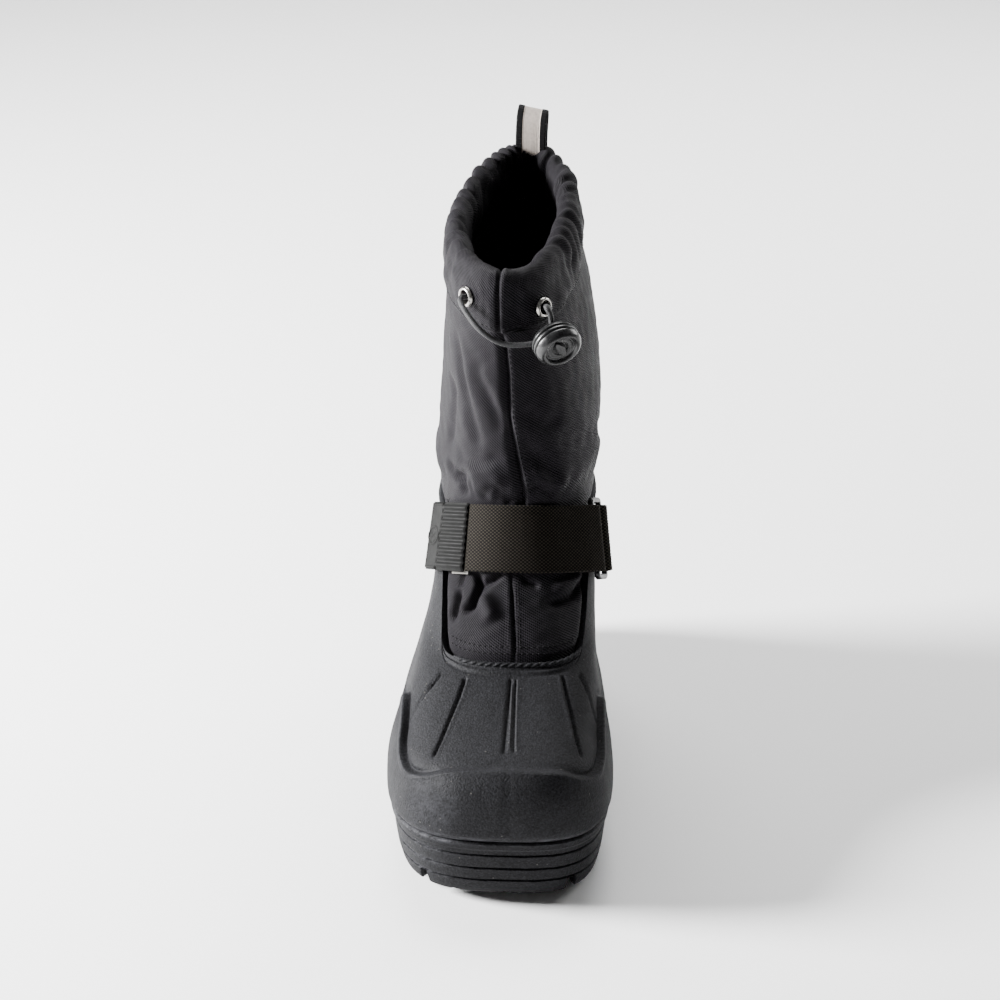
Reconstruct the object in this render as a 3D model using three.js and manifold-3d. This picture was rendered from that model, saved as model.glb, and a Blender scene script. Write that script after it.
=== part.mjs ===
// Insulated snow boot for the right foot: a moulded rubber galosh on a lugged outsole, a padded
// nylon shaft with a drawcord collar, an instep strap and a pull loop.
// Millimetres. +X is the inner (big toe) side, -Y is the toe, +Z is up, and the boot stands on Z = 0.
import * as THREE from "three";
import { mergeVertices } from "three/addons/utils/BufferGeometryUtils.js";
import Module from "manifold-3d";

const wasm = await Module();
wasm.setup();

// ---------- driving sizes ----------
const GAP = 0.3; // clearance between neighbouring pieces
const MIDDLE = { x: 2.9, y: 3.2 }; // brings the origin under the middle of the whole boot

const SOLE = { top: 32, lug: 8, toeSpring: 7, springFrom: -62, springTo: -149 };
const ARCH = { from: 18, to: 52, rise: 6 };
const GALOSH = { wall: 3.2, bumper: 2.8 };
const INSOLE = { thick: 4.5, inset: 1.5 };
const SHAFT = { wall: 6, gap: 1.2, free: 158, full: 176 };
const COLLAR = { top: 295, height: 30, slope: 0.19, slopeFrom: 150, slopeTo: 265, midY: 60 };
const TWIST = { turn: 0.084, from: 170, to: 290 };
const EYELET = { outer: 5.2, hole: 3.4, drill: 4.1, barrel: 3.8, thick: 1.5, deep: 4 };
const CORD = { radius: 1.4, sides: 8 };
const LOCK = { radius: 12.4, thick: 14 };
const STRAP = { width: 35, thick: 1.8, lie: 2, y: -22.5, z: 141.5, fall: 0.45 };
const RING = { bar: 3, inside: 37.5, between: 8.5, turn: 1.08, lie: 5.6 };
const LOOP = { width: 16.5, thick: 1.4, height: 21, gap: 7, x: 6.5 };

// ---------- small helpers ----------
const TURN = 2 * Math.PI;
const clamp01 = (t) => Math.min(1, Math.max(0, t));
const smooth = (a, b, t) => {
  const s = clamp01((t - a) / (b - a));
  return s * s * (3 - 2 * s);
};
const mix = (a, b, t) => a + (b - a) * t;

// One row of a table at any place, by cubic Hermite pieces through the rows.
function rowAt(table, key, place) {
  const last = table.length - 1;
  let i = 0;
  while (i < last - 1 && table[i + 1][key] < place) i += 1;
  const [p, q] = [table[i], table[i + 1]];
  const span = q[key] - p[key];
  const t = (place - p[key]) / span;
  const slope = (j, name) => {
    const [a, b] = [table[Math.max(0, j - 1)], table[Math.min(last, j + 1)]];
    return ((b[name] - a[name]) / (b[key] - a[key])) * span;
  };
  const row = {};
  for (const name of Object.keys(p)) {
    const [h, k] = [slope(i, name), slope(i + 1, name)];
    const [t2, t3] = [t * t, t * t * t];
    row[name] =
      (2 * t3 - 3 * t2 + 1) * p[name] +
      (t3 - 2 * t2 + t) * h +
      (3 * t2 - 2 * t3) * q[name] +
      (t3 - t2) * k;
  }
  return row;
}

// ---------- the last: level slices of the boot, bottom to top ----------
// toe, heel: where a slice starts and ends along Y. wide: where it is widest. inner, outer: half
// widths of the two sides. front, back: how square its ends are. waist: how far the arch pulls in.
const FOOT = [
  { z: 0, toe: -147, heel: 143, wide: -62, inner: 50.5, outer: 56.5, front: 3.1, back: 2.6, waist: 0.22 },
  { z: 32, toe: -149, heel: 145, wide: -62, inner: 52, outer: 58.5, front: 3.1, back: 2.6, waist: 0.2 },
  { z: 46, toe: -148, heel: 144, wide: -60, inner: 52, outer: 58.5, front: 3.1, back: 2.5, waist: 0.16 },
  { z: 56, toe: -145.5, heel: 141, wide: -56, inner: 51, outer: 57, front: 3.0, back: 2.4, waist: 0.12 },
  { z: 64, toe: -140.5, heel: 139, wide: -52, inner: 49.5, outer: 54.5, front: 2.9, back: 2.4, waist: 0.1 },
  { z: 69, toe: -133, heel: 138, wide: -46, inner: 48, outer: 52.5, front: 2.75, back: 2.35, waist: 0.08 },
  { z: 76, toe: -116, heel: 136, wide: -38, inner: 46.5, outer: 50, front: 2.6, back: 2.3, waist: 0.06 },
  { z: 84, toe: -91, heel: 134, wide: -26, inner: 45.5, outer: 47, front: 2.5, back: 2.3, waist: 0.03 },
  { z: 92, toe: -66, heel: 133, wide: -8, inner: 45, outer: 44.5, front: 2.5, back: 2.25, waist: 0.01 },
  { z: 104, toe: -52, heel: 132, wide: 8, inner: 44.5, outer: 42, front: 2.45, back: 2.2, waist: 0 },
  { z: 124, toe: -33, heel: 131, wide: 32, inner: 44, outer: 40.5, front: 2.4, back: 2.2, waist: 0 },
  { z: 146, toe: -19.5, heel: 133, wide: 48, inner: 43.5, outer: 40, front: 2.3, back: 2.2, waist: 0 },
  { z: 176, toe: -14, heel: 136, wide: 58, inner: 43.5, outer: 40, front: 2.3, back: 2.2, waist: 0 },
];
const SHAFT_FORM = [
  { z: 150, toe: -19, heel: 134, wide: 52, inner: 44, outer: 40, front: 2.3, back: 2.2, waist: 0 },
  { z: 176, toe: -16, heel: 138, wide: 58, inner: 46, outer: 41, front: 2.2, back: 2.2, waist: 0 },
  { z: 206, toe: -16, heel: 140, wide: 60, inner: 45.5, outer: 39, front: 2.1, back: 2.1, waist: 0 },
  { z: 236, toe: -14, heel: 138, wide: 60, inner: 41, outer: 37, front: 2.1, back: 2.1, waist: 0 },
  { z: 266, toe: -12, heel: 134, wide: 60, inner: 34, outer: 34.5, front: 2.1, back: 2.05, waist: 0 },
  { z: 296, toe: -11, heel: 131, wide: 60, inner: 30.5, outer: 33.5, front: 2.1, back: 2.0, waist: 0 },
];
const TOE_X = 3; // the toe's tip lies this far towards the inner side

// Height that the toe spring adds, rising ahead of the ball.
const spring = (y) => {
  const t = clamp01((SOLE.springFrom - y) / (SOLE.springFrom - SOLE.springTo));
  return SOLE.toeSpring * t * t;
};

// A point of a slice: angle 0 is the toe, a quarter turn the inner side, half a turn the heel.
function onSlice(row, angle) {
  const [s, c] = [Math.sin(angle), Math.cos(angle)];
  const power = 2 / mix(row.back, row.front, clamp01(0.5 + 2.5 * c));
  const half = s >= 0 ? row.inner : row.outer;
  const length = c >= 0 ? row.wide - row.toe : row.heel - row.wide;
  let x = Math.sign(s) * half * Math.abs(s) ** power;
  const y = row.wide - Math.sign(c) * length * Math.abs(c) ** power;
  const waist = row.waist * (s >= 0 ? 1 : 0.6) * Math.exp(-(((y - 38) / 48) ** 2));
  x *= 1 - waist;
  const ahead = clamp01((row.wide - y) / (row.wide - row.toe));
  x += TOE_X * ahead * ahead;
  return new THREE.Vector3(x, y, row.z);
}

function footPoint(angle, z) {
  const p = onSlice(rowAt(FOOT, "z", z), angle);
  p.z += spring(p.y) * (1 - smooth(60, 92, z));
  return p;
}

// The shaft's own form leans back and twists outwards in front as it nears the collar.
function shaftPoint(angle, z) {
  const p = onSlice(rowAt(SHAFT_FORM, "z", z), angle);
  p.x += TWIST.turn * (p.y - COLLAR.midY) * smooth(TWIST.from, TWIST.to, z);
  p.z += COLLAR.slope * (p.y - COLLAR.midY) * smooth(COLLAR.slopeFrom, COLLAR.slopeTo, z);
  return p;
}

// The outward normal of a surface of (angle, height), by central differences.
function normalOf(surface, angle, z) {
  const [da, dz] = [0.02, 0.8];
  const across = surface(angle + da, z).sub(surface(angle - da, z));
  const up = surface(angle, z + dz).sub(surface(angle, z - dz));
  return across.cross(up).normalize();
}

const offset = (surface, distance) => (angle, z) =>
  surface(angle, z).addScaledVector(normalOf(surface, angle, z), distance);

// ---------- mesh makers ----------
// A closed skin from a grid of points: rows of equal length, each row a ring that closes on
// itself. Without flat ends the last row joins the first, as on a wall with two faces.
function ringSolid(rows, ends = "joined") {
  const [n, m] = [rows.length, rows[0].length];
  const points = rows.flat().flatMap((p) => [p.x, p.y, p.z]);
  const faces = [];
  const at = (i, j) => (i % n) * m + (j % m);
  for (let i = 0; i < (ends === "joined" ? n : n - 1); i += 1)
    for (let j = 0; j < m; j += 1) {
      faces.push(at(i, j), at(i, j + 1), at(i + 1, j + 1));
      faces.push(at(i, j), at(i + 1, j + 1), at(i + 1, j));
    }
  if (ends === "flat")
    for (let j = 1; j < m - 1; j += 1) {
      faces.push(at(0, 0), at(0, j + 1), at(0, j));
      faces.push(at(n - 1, 0), at(n - 1, j), at(n - 1, j + 1));
    }
  const geometry = new THREE.BufferGeometry();
  geometry.setAttribute("position", new THREE.Float32BufferAttribute(points, 3));
  geometry.setIndex(faces);
  return outward(closed(geometry));
}

// The geometry with equal points made one, and without the faces that this leaves empty.
function closed(geometry) {
  const merged = mergeVertices(geometry, 1e-4);
  const index = merged.index.array;
  const faces = [];
  for (let i = 0; i < index.length; i += 3) {
    const [a, b, c] = [index[i], index[i + 1], index[i + 2]];
    if (a !== b && b !== c && c !== a) faces.push(a, b, c);
  }
  merged.setIndex(faces);
  return merged;
}

// The geometry with its faces turned out, judged by the sign of its volume.
function outward(geometry) {
  const p = geometry.getAttribute("position");
  const index = geometry.index.array;
  const [a, b, c] = [new THREE.Vector3(), new THREE.Vector3(), new THREE.Vector3()];
  let volume = 0;
  for (let i = 0; i < index.length; i += 3) {
    a.fromBufferAttribute(p, index[i]);
    b.fromBufferAttribute(p, index[i + 1]);
    c.fromBufferAttribute(p, index[i + 2]);
    volume += a.dot(b.cross(c));
  }
  if (volume < 0)
    for (let i = 0; i < index.length; i += 3) [index[i], index[i + 1]] = [index[i + 1], index[i]];
  return geometry;
}

function toSolid(geometry) {
  const bare = geometry.index ? geometry.toNonIndexed() : geometry.clone();
  const only = new THREE.BufferGeometry().setAttribute("position", bare.getAttribute("position"));
  const merged = mergeVertices(only, 1e-4);
  const mesh = new wasm.Mesh({
    numProp: 3,
    vertProperties: merged.attributes.position.array,
    triVerts: new Uint32Array(merged.index.array),
  });
  return new wasm.Manifold(mesh);
}

function fromSolid(solid) {
  const mesh = solid.getMesh();
  const geometry = new THREE.BufferGeometry();
  geometry.setAttribute("position", new THREE.BufferAttribute(mesh.vertProperties, 3));
  geometry.setIndex(new THREE.BufferAttribute(mesh.triVerts, 1));
  return geometry;
}

// A frame at a point, its third axis along a direction and its second as near up as can be.
function frameAt(origin, direction) {
  const z = direction.clone().normalize();
  const x = new THREE.Vector3(0, 0, 1).cross(z).normalize();
  const y = z.clone().cross(x);
  return new THREE.Matrix4().makeBasis(x, y, z).setPosition(origin);
}

const circle = (columns) => Array.from({ length: columns }, (_, j) => (j / columns) * TURN);

// ---------- outsole: moulded rubber with side-cut lugs, an arch and a low heel ----------
// A level ring of the sole at a height, drawn in by an inset.
function soleRing(angles, z, inset) {
  const level = (a) => onSlice(rowAt(FOOT, "z", z), a);
  return angles.map((a) => {
    const p = level(a);
    const along = level(a + 0.01).sub(level(a - 0.01));
    return p.addScaledVector(new THREE.Vector3(along.y, -along.x, 0).normalize(), -inset);
  });
}

// The same ring folded onto its middle line, which closes a flat face without a fan.
function middleLine(ring) {
  const m = ring.length;
  return ring.map((p, j) => {
    const q = ring[(m - j) % m];
    return p.clone().add(q).multiplyScalar(0.5);
  });
}

// The tread's notches: the middle of each, its length and its turn in degrees from straight across.
const NOTCHES = [
  { x: -42, y: -140, length: 34, turn: 62 },
  { x: 36, y: -142, length: 34, turn: -66 },
  ...[-108, -82, -56, -30, -6].flatMap((y) => [
    { x: -52, y, length: 44, turn: 14 },
    { x: 48, y, length: 44, turn: -14 },
  ]),
  ...[-96, -68, -40].map((y) => ({ x: -1, y, length: 40, turn: 0 })),
  ...[76, 98, 120].flatMap((y) => [
    { x: -44, y, length: 34, turn: -12 },
    { x: 41, y, length: 34, turn: 12 },
  ]),
  ...[86, 110].map((y) => ({ x: 0, y, length: 26, turn: 0 })),
];

function outsole() {
  const sides = [
    { z: 0, inset: 3.4 },
    { z: 2.6, inset: 1.6 },
    { z: SOLE.lug, inset: 0.6 },
    { z: 17, inset: 0 },
    { z: SOLE.top - 1.5, inset: -0.4 },
    { z: SOLE.top, inset: 1 },
  ];
  const angles = circle(64);
  const rows = sides.map(({ z, inset }) => soleRing(angles, z, inset));
  rows.unshift(middleLine(rows[0]));
  rows.push(middleLine(rows.at(-1)));
  let solid = toSolid(ringSolid(rows, "closed"));
  const cut = (width, length, depth, x, y, turn) => {
    const box = new THREE.BoxGeometry(length, width, depth * 2);
    box.applyMatrix4(new THREE.Matrix4().makeRotationZ(turn).setPosition(x, y, 0));
    solid = solid.subtract(toSolid(box));
  };
  cut(ARCH.to - ARCH.from, 140, ARCH.rise, 0, (ARCH.to + ARCH.from) / 2, 0);
  for (const { x, y, length, turn } of NOTCHES) cut(5, length, SOLE.lug, x, y, (turn * TURN) / 360);
  const geometry = fromSolid(solid);
  const position = geometry.getAttribute("position");
  for (let i = 0; i < position.count; i += 1)
    position.setZ(i, position.getZ(i) + spring(position.getY(i)));
  return geometry;
}

// ---------- galosh: one moulded rubber wall, open at the throat and collar and underneath ----------
// The rim as stops on the way round: turn in degrees from the toe, and its height.
const RIM = [
  { turn: 0, z: 91.5 },
  { turn: 38, z: 91.5 },
  { turn: 49, z: 94 },
  { turn: 55, z: 104 },
  { turn: 60, z: 121 },
  { turn: 66, z: 137 },
  { turn: 74, z: 143 },
  { turn: 90, z: 142 },
  { turn: 115, z: 141 },
  { turn: 150, z: 148 },
  { turn: 180, z: 154 },
];
// The bumper's upper edge in the same way; behind its tips it runs down to the sole.
const CAP_LINE = [
  { turn: 0, z: 67 },
  { turn: 22, z: 65 },
  { turn: 38, z: 60 },
  { turn: 50, z: 58 },
  { turn: 60, z: 61 },
  { turn: 70, z: 68 },
  { turn: 80, z: 72 },
  { turn: 94, z: 62 },
  { turn: 110, z: 54 },
  { turn: 180, z: 52 },
];
// The shaft's lower edge, out of sight inside the galosh.
const SHAFT_FOOT = [
  { turn: 0, z: 77 },
  { turn: 44, z: 78 },
  { turn: 62, z: 89 },
  { turn: 80, z: 114 },
  { turn: 110, z: 130 },
  { turn: 180, z: 140 },
];
const heightOn = (line, angle) => {
  const turn = (Math.abs(Math.atan2(Math.sin(angle), Math.cos(angle))) * 180) / Math.PI;
  return rowAt(line, "turn", turn).z;
};
const bumperReach = (angle) => 1 - smooth(1.35, 1.7, Math.abs(Math.atan2(Math.sin(angle), Math.cos(angle))));

function galoshOuter(angle, z) {
  const line = heightOn(CAP_LINE, angle);
  const proud = GALOSH.bumper * bumperReach(angle) * (1 - smooth(line - 1.2, line + 1.2, z));
  return offset(footPoint, proud)(angle, z);
}

// Columns run from the sole up to the rim; where the throat turns they slide round with it.
function galoshGrid(surface, columns, foot, shares) {
  const rim = [];
  const fine = 720;
  for (let j = 0; j <= fine; j += 1) {
    const angle = (j / fine) * TURN;
    rim.push(footPoint(angle, heightOn(RIM, angle)));
  }
  const run = [0];
  for (let j = 1; j <= fine; j += 1) run.push(run[j - 1] + rim[j].distanceTo(rim[j - 1]));
  const rimAngle = (share) => {
    let j = 1;
    while (j < fine && run[j] < share * run[fine]) j += 1;
    return ((j - 1 + (share * run[fine] - run[j - 1]) / (run[j] - run[j - 1])) / fine) * TURN;
  };
  return shares.map((share) =>
    circle(columns).map((low) => {
      const high = rimAngle(low / TURN);
      const angle = mix(low, high, share);
      const cap = heightOn(CAP_LINE, angle);
      const top = heightOn(RIM, high);
      const bend = 0.35;
      const z = share < bend ? mix(foot, cap, share / bend) : mix(cap, top, (share - bend) / (1 - bend));
      return surface(angle, z);
    }),
  );
}

function galosh() {
  const shares = [0, 0.12, 0.24, 0.33, 0.37, 0.46, 0.56, 0.66, 0.76, 0.86, 0.93, 1];
  const outer = galoshGrid(galoshOuter, 68, SOLE.top + GAP, shares);
  const inner = galoshGrid(offset(footPoint, -GALOSH.wall), 68, SOLE.top + GAP, shares);
  return ringSolid([...outer, ...inner.reverse()]);
}

// ---------- insole: felt board that lies on the outsole ----------
function insole() {
  const inset = GALOSH.wall + INSOLE.inset;
  const low = SOLE.top + GAP;
  const high = low + INSOLE.thick;
  const angles = circle(64);
  const ring = (z) => soleRing(angles, SOLE.top, inset).map((p) => p.setZ(z + spring(p.y)));
  const rows = [middleLine(ring(low)), ring(low), ring(high), middleLine(ring(high))];
  return ringSolid(rows, "closed");
}

// ---------- shaft: nylon, wadding and pile in one wall, tucked into the galosh ----------
const inGalosh = offset(footPoint, -GALOSH.wall - SHAFT.gap);

// Inside the galosh up to above its rim, then out to the shaft's own form.
function shaftOuter(angle, z) {
  const clear = smooth(SHAFT.free, SHAFT.full, z);
  const own = shaftPoint(angle, z);
  return clear >= 1 ? own : inGalosh(angle, z).lerp(own, clear);
}

const shaftTop = COLLAR.top - COLLAR.height;
function shaft() {
  const angles = circle(52);
  const shares = [0, 0.03, 0.06, 0.09, 0.13, 0.18, 0.24, 0.32, 0.42, 0.53, 0.65, 0.77, 0.89, 1];
  const grid = (surface) =>
    shares.map((share) =>
      angles.map((a) => surface(a, mix(heightOn(SHAFT_FOOT, a), shaftTop, share))),
    );
  return ringSolid([...grid(shaftOuter), ...grid(offset(shaftOuter, -SHAFT.wall)).reverse()]);
}

// ---------- collar casing: the gathered channel that the drawcord runs in ----------
// Its section, as offsets out from the shaft's face and heights above the shaft's top.
const CASING_SECTION = [
  { out: 0.6, up: 0 },
  { out: 1.8, up: 5 },
  { out: 2.2, up: 13 },
  { out: 1.6, up: 22 },
  { out: -0.8, up: 28 },
  { out: -4.5, up: 30 },
  { out: -8.4, up: 28 },
  { out: -10.6, up: 22 },
  { out: -10.2, up: 10 },
  { out: -7.4, up: 0 },
];

const casingPoint = (angle, { out, up }) => {
  const base = shaftPoint(angle, shaftTop + GAP + up);
  const n = normalOf(shaftPoint, angle, shaftTop + up);
  n.z = 0;
  return base.addScaledVector(n.normalize(), out);
};

// Where the eyelets sit: their distance from the middle line and height on the casing.
const EYELET_SEATS = {
  outer: { side: -1, x: 22.5, up: 13.5 },
  inner: { side: 1, x: 15.5, up: 9 },
};

function eyeletSeat({ side, x, up }) {
  let [low, high] = [0, 1.4];
  for (let i = 0; i < 40; i += 1) {
    const mid = (low + high) / 2;
    if (side * casingPoint(side * mid, { out: 2.2, up }).x < x) low = mid;
    else high = mid;
  }
  const point = casingPoint(side * low, { out: 2.2, up });
  return frameAt(point, normalOf(shaftPoint, side * low, shaftTop + up));
}

function collarCasing() {
  const rows = circle(48).map((a) => CASING_SECTION.map((stop) => casingPoint(a, stop)));
  let solid = toSolid(ringSolid(rows));
  for (const seat of Object.values(EYELET_SEATS)) {
    const drill = new THREE.CylinderGeometry(EYELET.drill, EYELET.drill, 2 * EYELET.deep + 2, 16);
    drill.rotateX(Math.PI / 2).applyMatrix4(eyeletSeat(seat));
    solid = solid.subtract(toSolid(drill));
  }
  return fromSolid(solid);
}

// ---------- eyelets: pressed steel rings with a short barrel ----------
function eyelet(seat) {
  const { outer, hole, barrel, thick, deep } = EYELET;
  const lift = 0.8; // the flange clears the curved cloth
  const profile = [
    [hole, -deep],
    [barrel, -deep],
    [barrel, lift],
    [outer, lift],
    [outer, lift + thick * 0.6],
    [outer - 0.8, lift + thick],
    [hole + 0.6, lift + thick],
    [hole, lift + thick * 0.5],
    [hole, -deep],
  ];
  const ring = new THREE.LatheGeometry(profile.map(([r, h]) => new THREE.Vector2(r, h)), 20);
  ring.rotateX(Math.PI / 2).applyMatrix4(eyeletSeat(seat));
  return ring;
}

// ---------- drawcord and its lock ----------
function tubeAlong(points, radius, sides, steps) {
  const section = new THREE.Shape();
  for (let i = 0; i <= sides; i += 1) {
    const a = (i / sides) * TURN;
    const [x, y] = [radius * Math.cos(a), radius * Math.sin(a)];
    if (i === 0) section.moveTo(x, y);
    else section.lineTo(x, y);
  }
  const extrudePath = new THREE.CatmullRomCurve3(points);
  return new THREE.ExtrudeGeometry(section, { steps, extrudePath, curveSegments: 1 });
}

const LOCK_CENTRE = new THREE.Vector3(22.5, -21.5, 250);
const LOCK_FACE = new THREE.Vector3(0.45, -0.8, -0.38).normalize();
const lockFrame = frameAt(LOCK_CENTRE, LOCK_FACE);

function cordLock() {
  const half = LOCK.thick / 2;
  const profile = [
    [0, -half],
    [8, -half],
    [LOCK.radius - 1.5, -half + 2],
    [LOCK.radius, -half + 4.5],
    [LOCK.radius - 0.8, -half + 6],
    [LOCK.radius, -half + 7.5],
    [LOCK.radius, half - 2],
    [LOCK.radius - 1.2, half - 0.3],
    [LOCK.radius - 3, half],
    [LOCK.radius - 4.2, half - 1.8],
    [0, half - 1.2],
  ];
  const body = new THREE.LatheGeometry(profile.map(([r, h]) => new THREE.Vector2(r, h)), 28);
  return body.rotateX(Math.PI / 2).applyMatrix4(lockFrame);
}

// Each run of cord leaves its eyelet straight out, hangs and ends close to the lock's rim.
function drawcord(seat, route) {
  const place = eyeletSeat(seat);
  const fromEyelet = [-2.5, 4.5].map((out) => new THREE.Vector3(0, 0, out).applyMatrix4(place));
  const toLock = route.map(([x, y, z]) => new THREE.Vector3(x, y, z));
  return tubeAlong([...fromEyelet, ...toLock], CORD.radius, CORD.sides, 26);
}

// ---------- instep strap: webbing through a loop on the inner side and back on itself ----------
// The middle of the strap at a turn round the boot, with its three axes: along, across and out.
function strapFrame(angle) {
  const middle = (a) => {
    let z = STRAP.z;
    for (let i = 0; i < 30; i += 1) z = mix(z, STRAP.z - STRAP.fall * (footPoint(a, z).y - STRAP.y), 0.6);
    return { point: footPoint(a, z), out: normalOf(footPoint, a, z) };
  };
  const { point, out } = middle(angle);
  const along = middle(angle + 0.02).point.sub(middle(angle - 0.02).point);
  along.addScaledVector(out, -along.dot(out)).normalize();
  return { point, along, across: out.clone().cross(along), out };
}

// Webbing laid along stations of turn, extra length along, and height out from the boot.
function webbing(stations, width, thick) {
  const middle = stations.map(({ angle, along = 0, out }) => {
    const f = strapFrame(angle);
    const point = f.point.clone().addScaledVector(f.along, along).addScaledVector(f.out, out);
    return { point, across: f.across };
  });
  const rows = middle.map(({ point, across }, i) => {
    const [a, b] = [middle[Math.max(0, i - 1)], middle[Math.min(middle.length - 1, i + 1)]];
    const face = b.point.clone().sub(a.point).cross(across).normalize();
    const corner = (w, t) =>
      point.clone().addScaledVector(across, w * width).addScaledVector(face, t * thick);
    return [corner(-0.5, -0.5), corner(0.5, -0.5), corner(0.5, 0.5), corner(-0.5, 0.5)];
  });
  return ringSolid(rows, "flat");
}

const spread = (from, to, steps) =>
  Array.from({ length: steps + 1 }, (_, i) => mix(from, to, i / steps));

// A half turn of webbing round a bar of the ring: side 1 is the bar nearer the heel.
function roundBar(side) {
  const radius = RING.bar * Math.SQRT1_2 + 1.6 * GAP + STRAP.thick / 2;
  const middle = (side * (RING.between + RING.bar)) / 2;
  return spread(-Math.PI / 2, Math.PI / 2, 6).map((t) => ({
    angle: RING.turn,
    along: middle - side * radius * Math.cos(t),
    out: RING.lie + radius * Math.sin(t),
  }));
}

function strap() {
  const low = spread(-1.75, RING.turn - 0.14, 20).map((angle) => ({ angle, out: STRAP.lie }));
  const over = STRAP.lie + STRAP.thick + GAP;
  const back = spread(RING.turn - 0.26, -0.52, 12).map((angle, i) => ({
    angle,
    out: over + [3, 1.4, 0.4][i] || over,
  }));
  return webbing([...low, ...roundBar(-1), ...back], STRAP.width, STRAP.thick);
}

// The strap's moulded end, with a grip tab that stands off the boot.
function strapTip() {
  const out = STRAP.lie + STRAP.thick + GAP;
  const stations = spread(-0.54, -1.16, 8).map((angle, i) => ({ angle, out: out + 0.6 + 0.03 * i * i }));
  return webbing(stations, STRAP.width + 1, 3);
}

function strapRing() {
  const f = strapFrame(RING.turn);
  const bar = (length, width) => new THREE.BoxGeometry(length, width, RING.bar);
  const length = RING.between + 2 * RING.bar;
  const frame = toSolid(bar(length, RING.inside + 2 * RING.bar));
  const hole = toSolid(new THREE.BoxGeometry(RING.between, RING.inside, 2 * RING.bar));
  const place = new THREE.Matrix4().makeBasis(f.along, f.across, f.out);
  place.setPosition(f.point.clone().addScaledVector(f.out, RING.lie));
  return fromSolid(frame.subtract(hole)).applyMatrix4(place);
}

function ringKeeper() {
  const low = spread(RING.turn + 0.62, RING.turn + 0.18, 6).map((angle) => ({ angle, out: STRAP.lie }));
  const over = STRAP.lie + STRAP.thick + GAP;
  const back = spread(RING.turn + 0.22, RING.turn + 0.6, 5).map((angle, i) => ({
    angle,
    out: over + [3.2, 1.5, 0.4][i] || over,
  }));
  return webbing([...low, ...roundBar(1), ...back], STRAP.width, STRAP.thick);
}

// ---------- pull loop: a folded tape at the back of the collar ----------
function pullLoop() {
  const outline = new THREE.Shape();
  const [h, g, t] = [LOOP.height, LOOP.gap / 2, LOOP.thick];
  outline.moveTo(-g - t, 0);
  outline.lineTo(-g - t - 1, h * 0.7);
  outline.absarc(0, h * 0.7, g + t + 1, Math.PI, 0, true);
  outline.lineTo(g + t, 0);
  outline.lineTo(g, 0);
  outline.lineTo(g + 1, h * 0.7);
  outline.absarc(0, h * 0.7, g + 1, 0, Math.PI, false);
  outline.lineTo(-g, 0);
  const band = new THREE.ExtrudeGeometry(outline, {
    depth: LOOP.width,
    bevelEnabled: false,
    curveSegments: 8,
  });
  band.translate(0, 0, -LOOP.width / 2);
  const base = casingPoint(Math.PI, { out: -4.5, up: 30 });
  const place = new THREE.Matrix4().makeRotationZ(-0.1);
  place.multiply(
    new THREE.Matrix4().makeBasis(
      new THREE.Vector3(0, 1, 0),
      new THREE.Vector3(0, 0, 1),
      new THREE.Vector3(1, 0, 0),
    ),
  );
  return band.applyMatrix4(place.setPosition(LOOP.x, base.y, base.z + 2 * GAP));
}

// ---------- assembly ----------
const FINISH = {
  rubber: { color: 0x2b2c2e, roughness: 0.72, metalness: 0 },
  sole: { color: 0x27282a, roughness: 0.8, metalness: 0 },
  nylon: { color: 0x201f22, roughness: 0.85, metalness: 0 },
  webbing: { color: 0x1b1a18, roughness: 0.9, metalness: 0 },
  felt: { color: 0x242424, roughness: 0.95, metalness: 0 },
  plastic: { color: 0x1d1d1f, roughness: 0.35, metalness: 0 },
  steel: { color: 0x9a9a9c, roughness: 0.3, metalness: 1 },
  cord: { color: 0x1a1a1c, roughness: 0.7, metalness: 0 },
  tape: { color: 0xc9c1bb, roughness: 0.8, metalness: 0 },
};

const boot = new THREE.Group();
function add(name, geometry, finish) {
  geometry.translate(MIDDLE.x, MIDDLE.y, 0);
  const mesh = new THREE.Mesh(geometry, new THREE.MeshStandardMaterial(FINISH[finish]));
  mesh.name = name;
  boot.add(mesh);
}

add("outsole", outsole(), "sole");
add("galosh", galosh(), "rubber");
add("insole", insole(), "felt");
add("shaft", shaft(), "nylon");
add("collar_casing", collarCasing(), "nylon");
add("eyelet_outer", eyelet(EYELET_SEATS.outer), "steel");
add("eyelet_inner", eyelet(EYELET_SEATS.inner), "steel");
const OUTER_ROUTE = [
  [-16, -20, 256],
  [-4, -22, 249],
  [8.8, -22.5, 249],
];
const INNER_ROUTE = [
  [17.5, -19.5, 267.5],
  [19.5, -20, 264.5],
];
add("drawcord_outer", drawcord(EYELET_SEATS.outer, OUTER_ROUTE), "cord");
add("drawcord_inner", drawcord(EYELET_SEATS.inner, INNER_ROUTE), "cord");
add("cord_lock", cordLock(), "plastic");
add("strap", strap(), "webbing");
add("strap_tip", strapTip(), "plastic");
add("strap_ring", strapRing(), "plastic");
add("ring_keeper", ringKeeper(), "webbing");
add("pull_loop", pullLoop(), "tape");

export default boot;
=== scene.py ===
from math import cos, pi, radians, sin, tau

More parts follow.
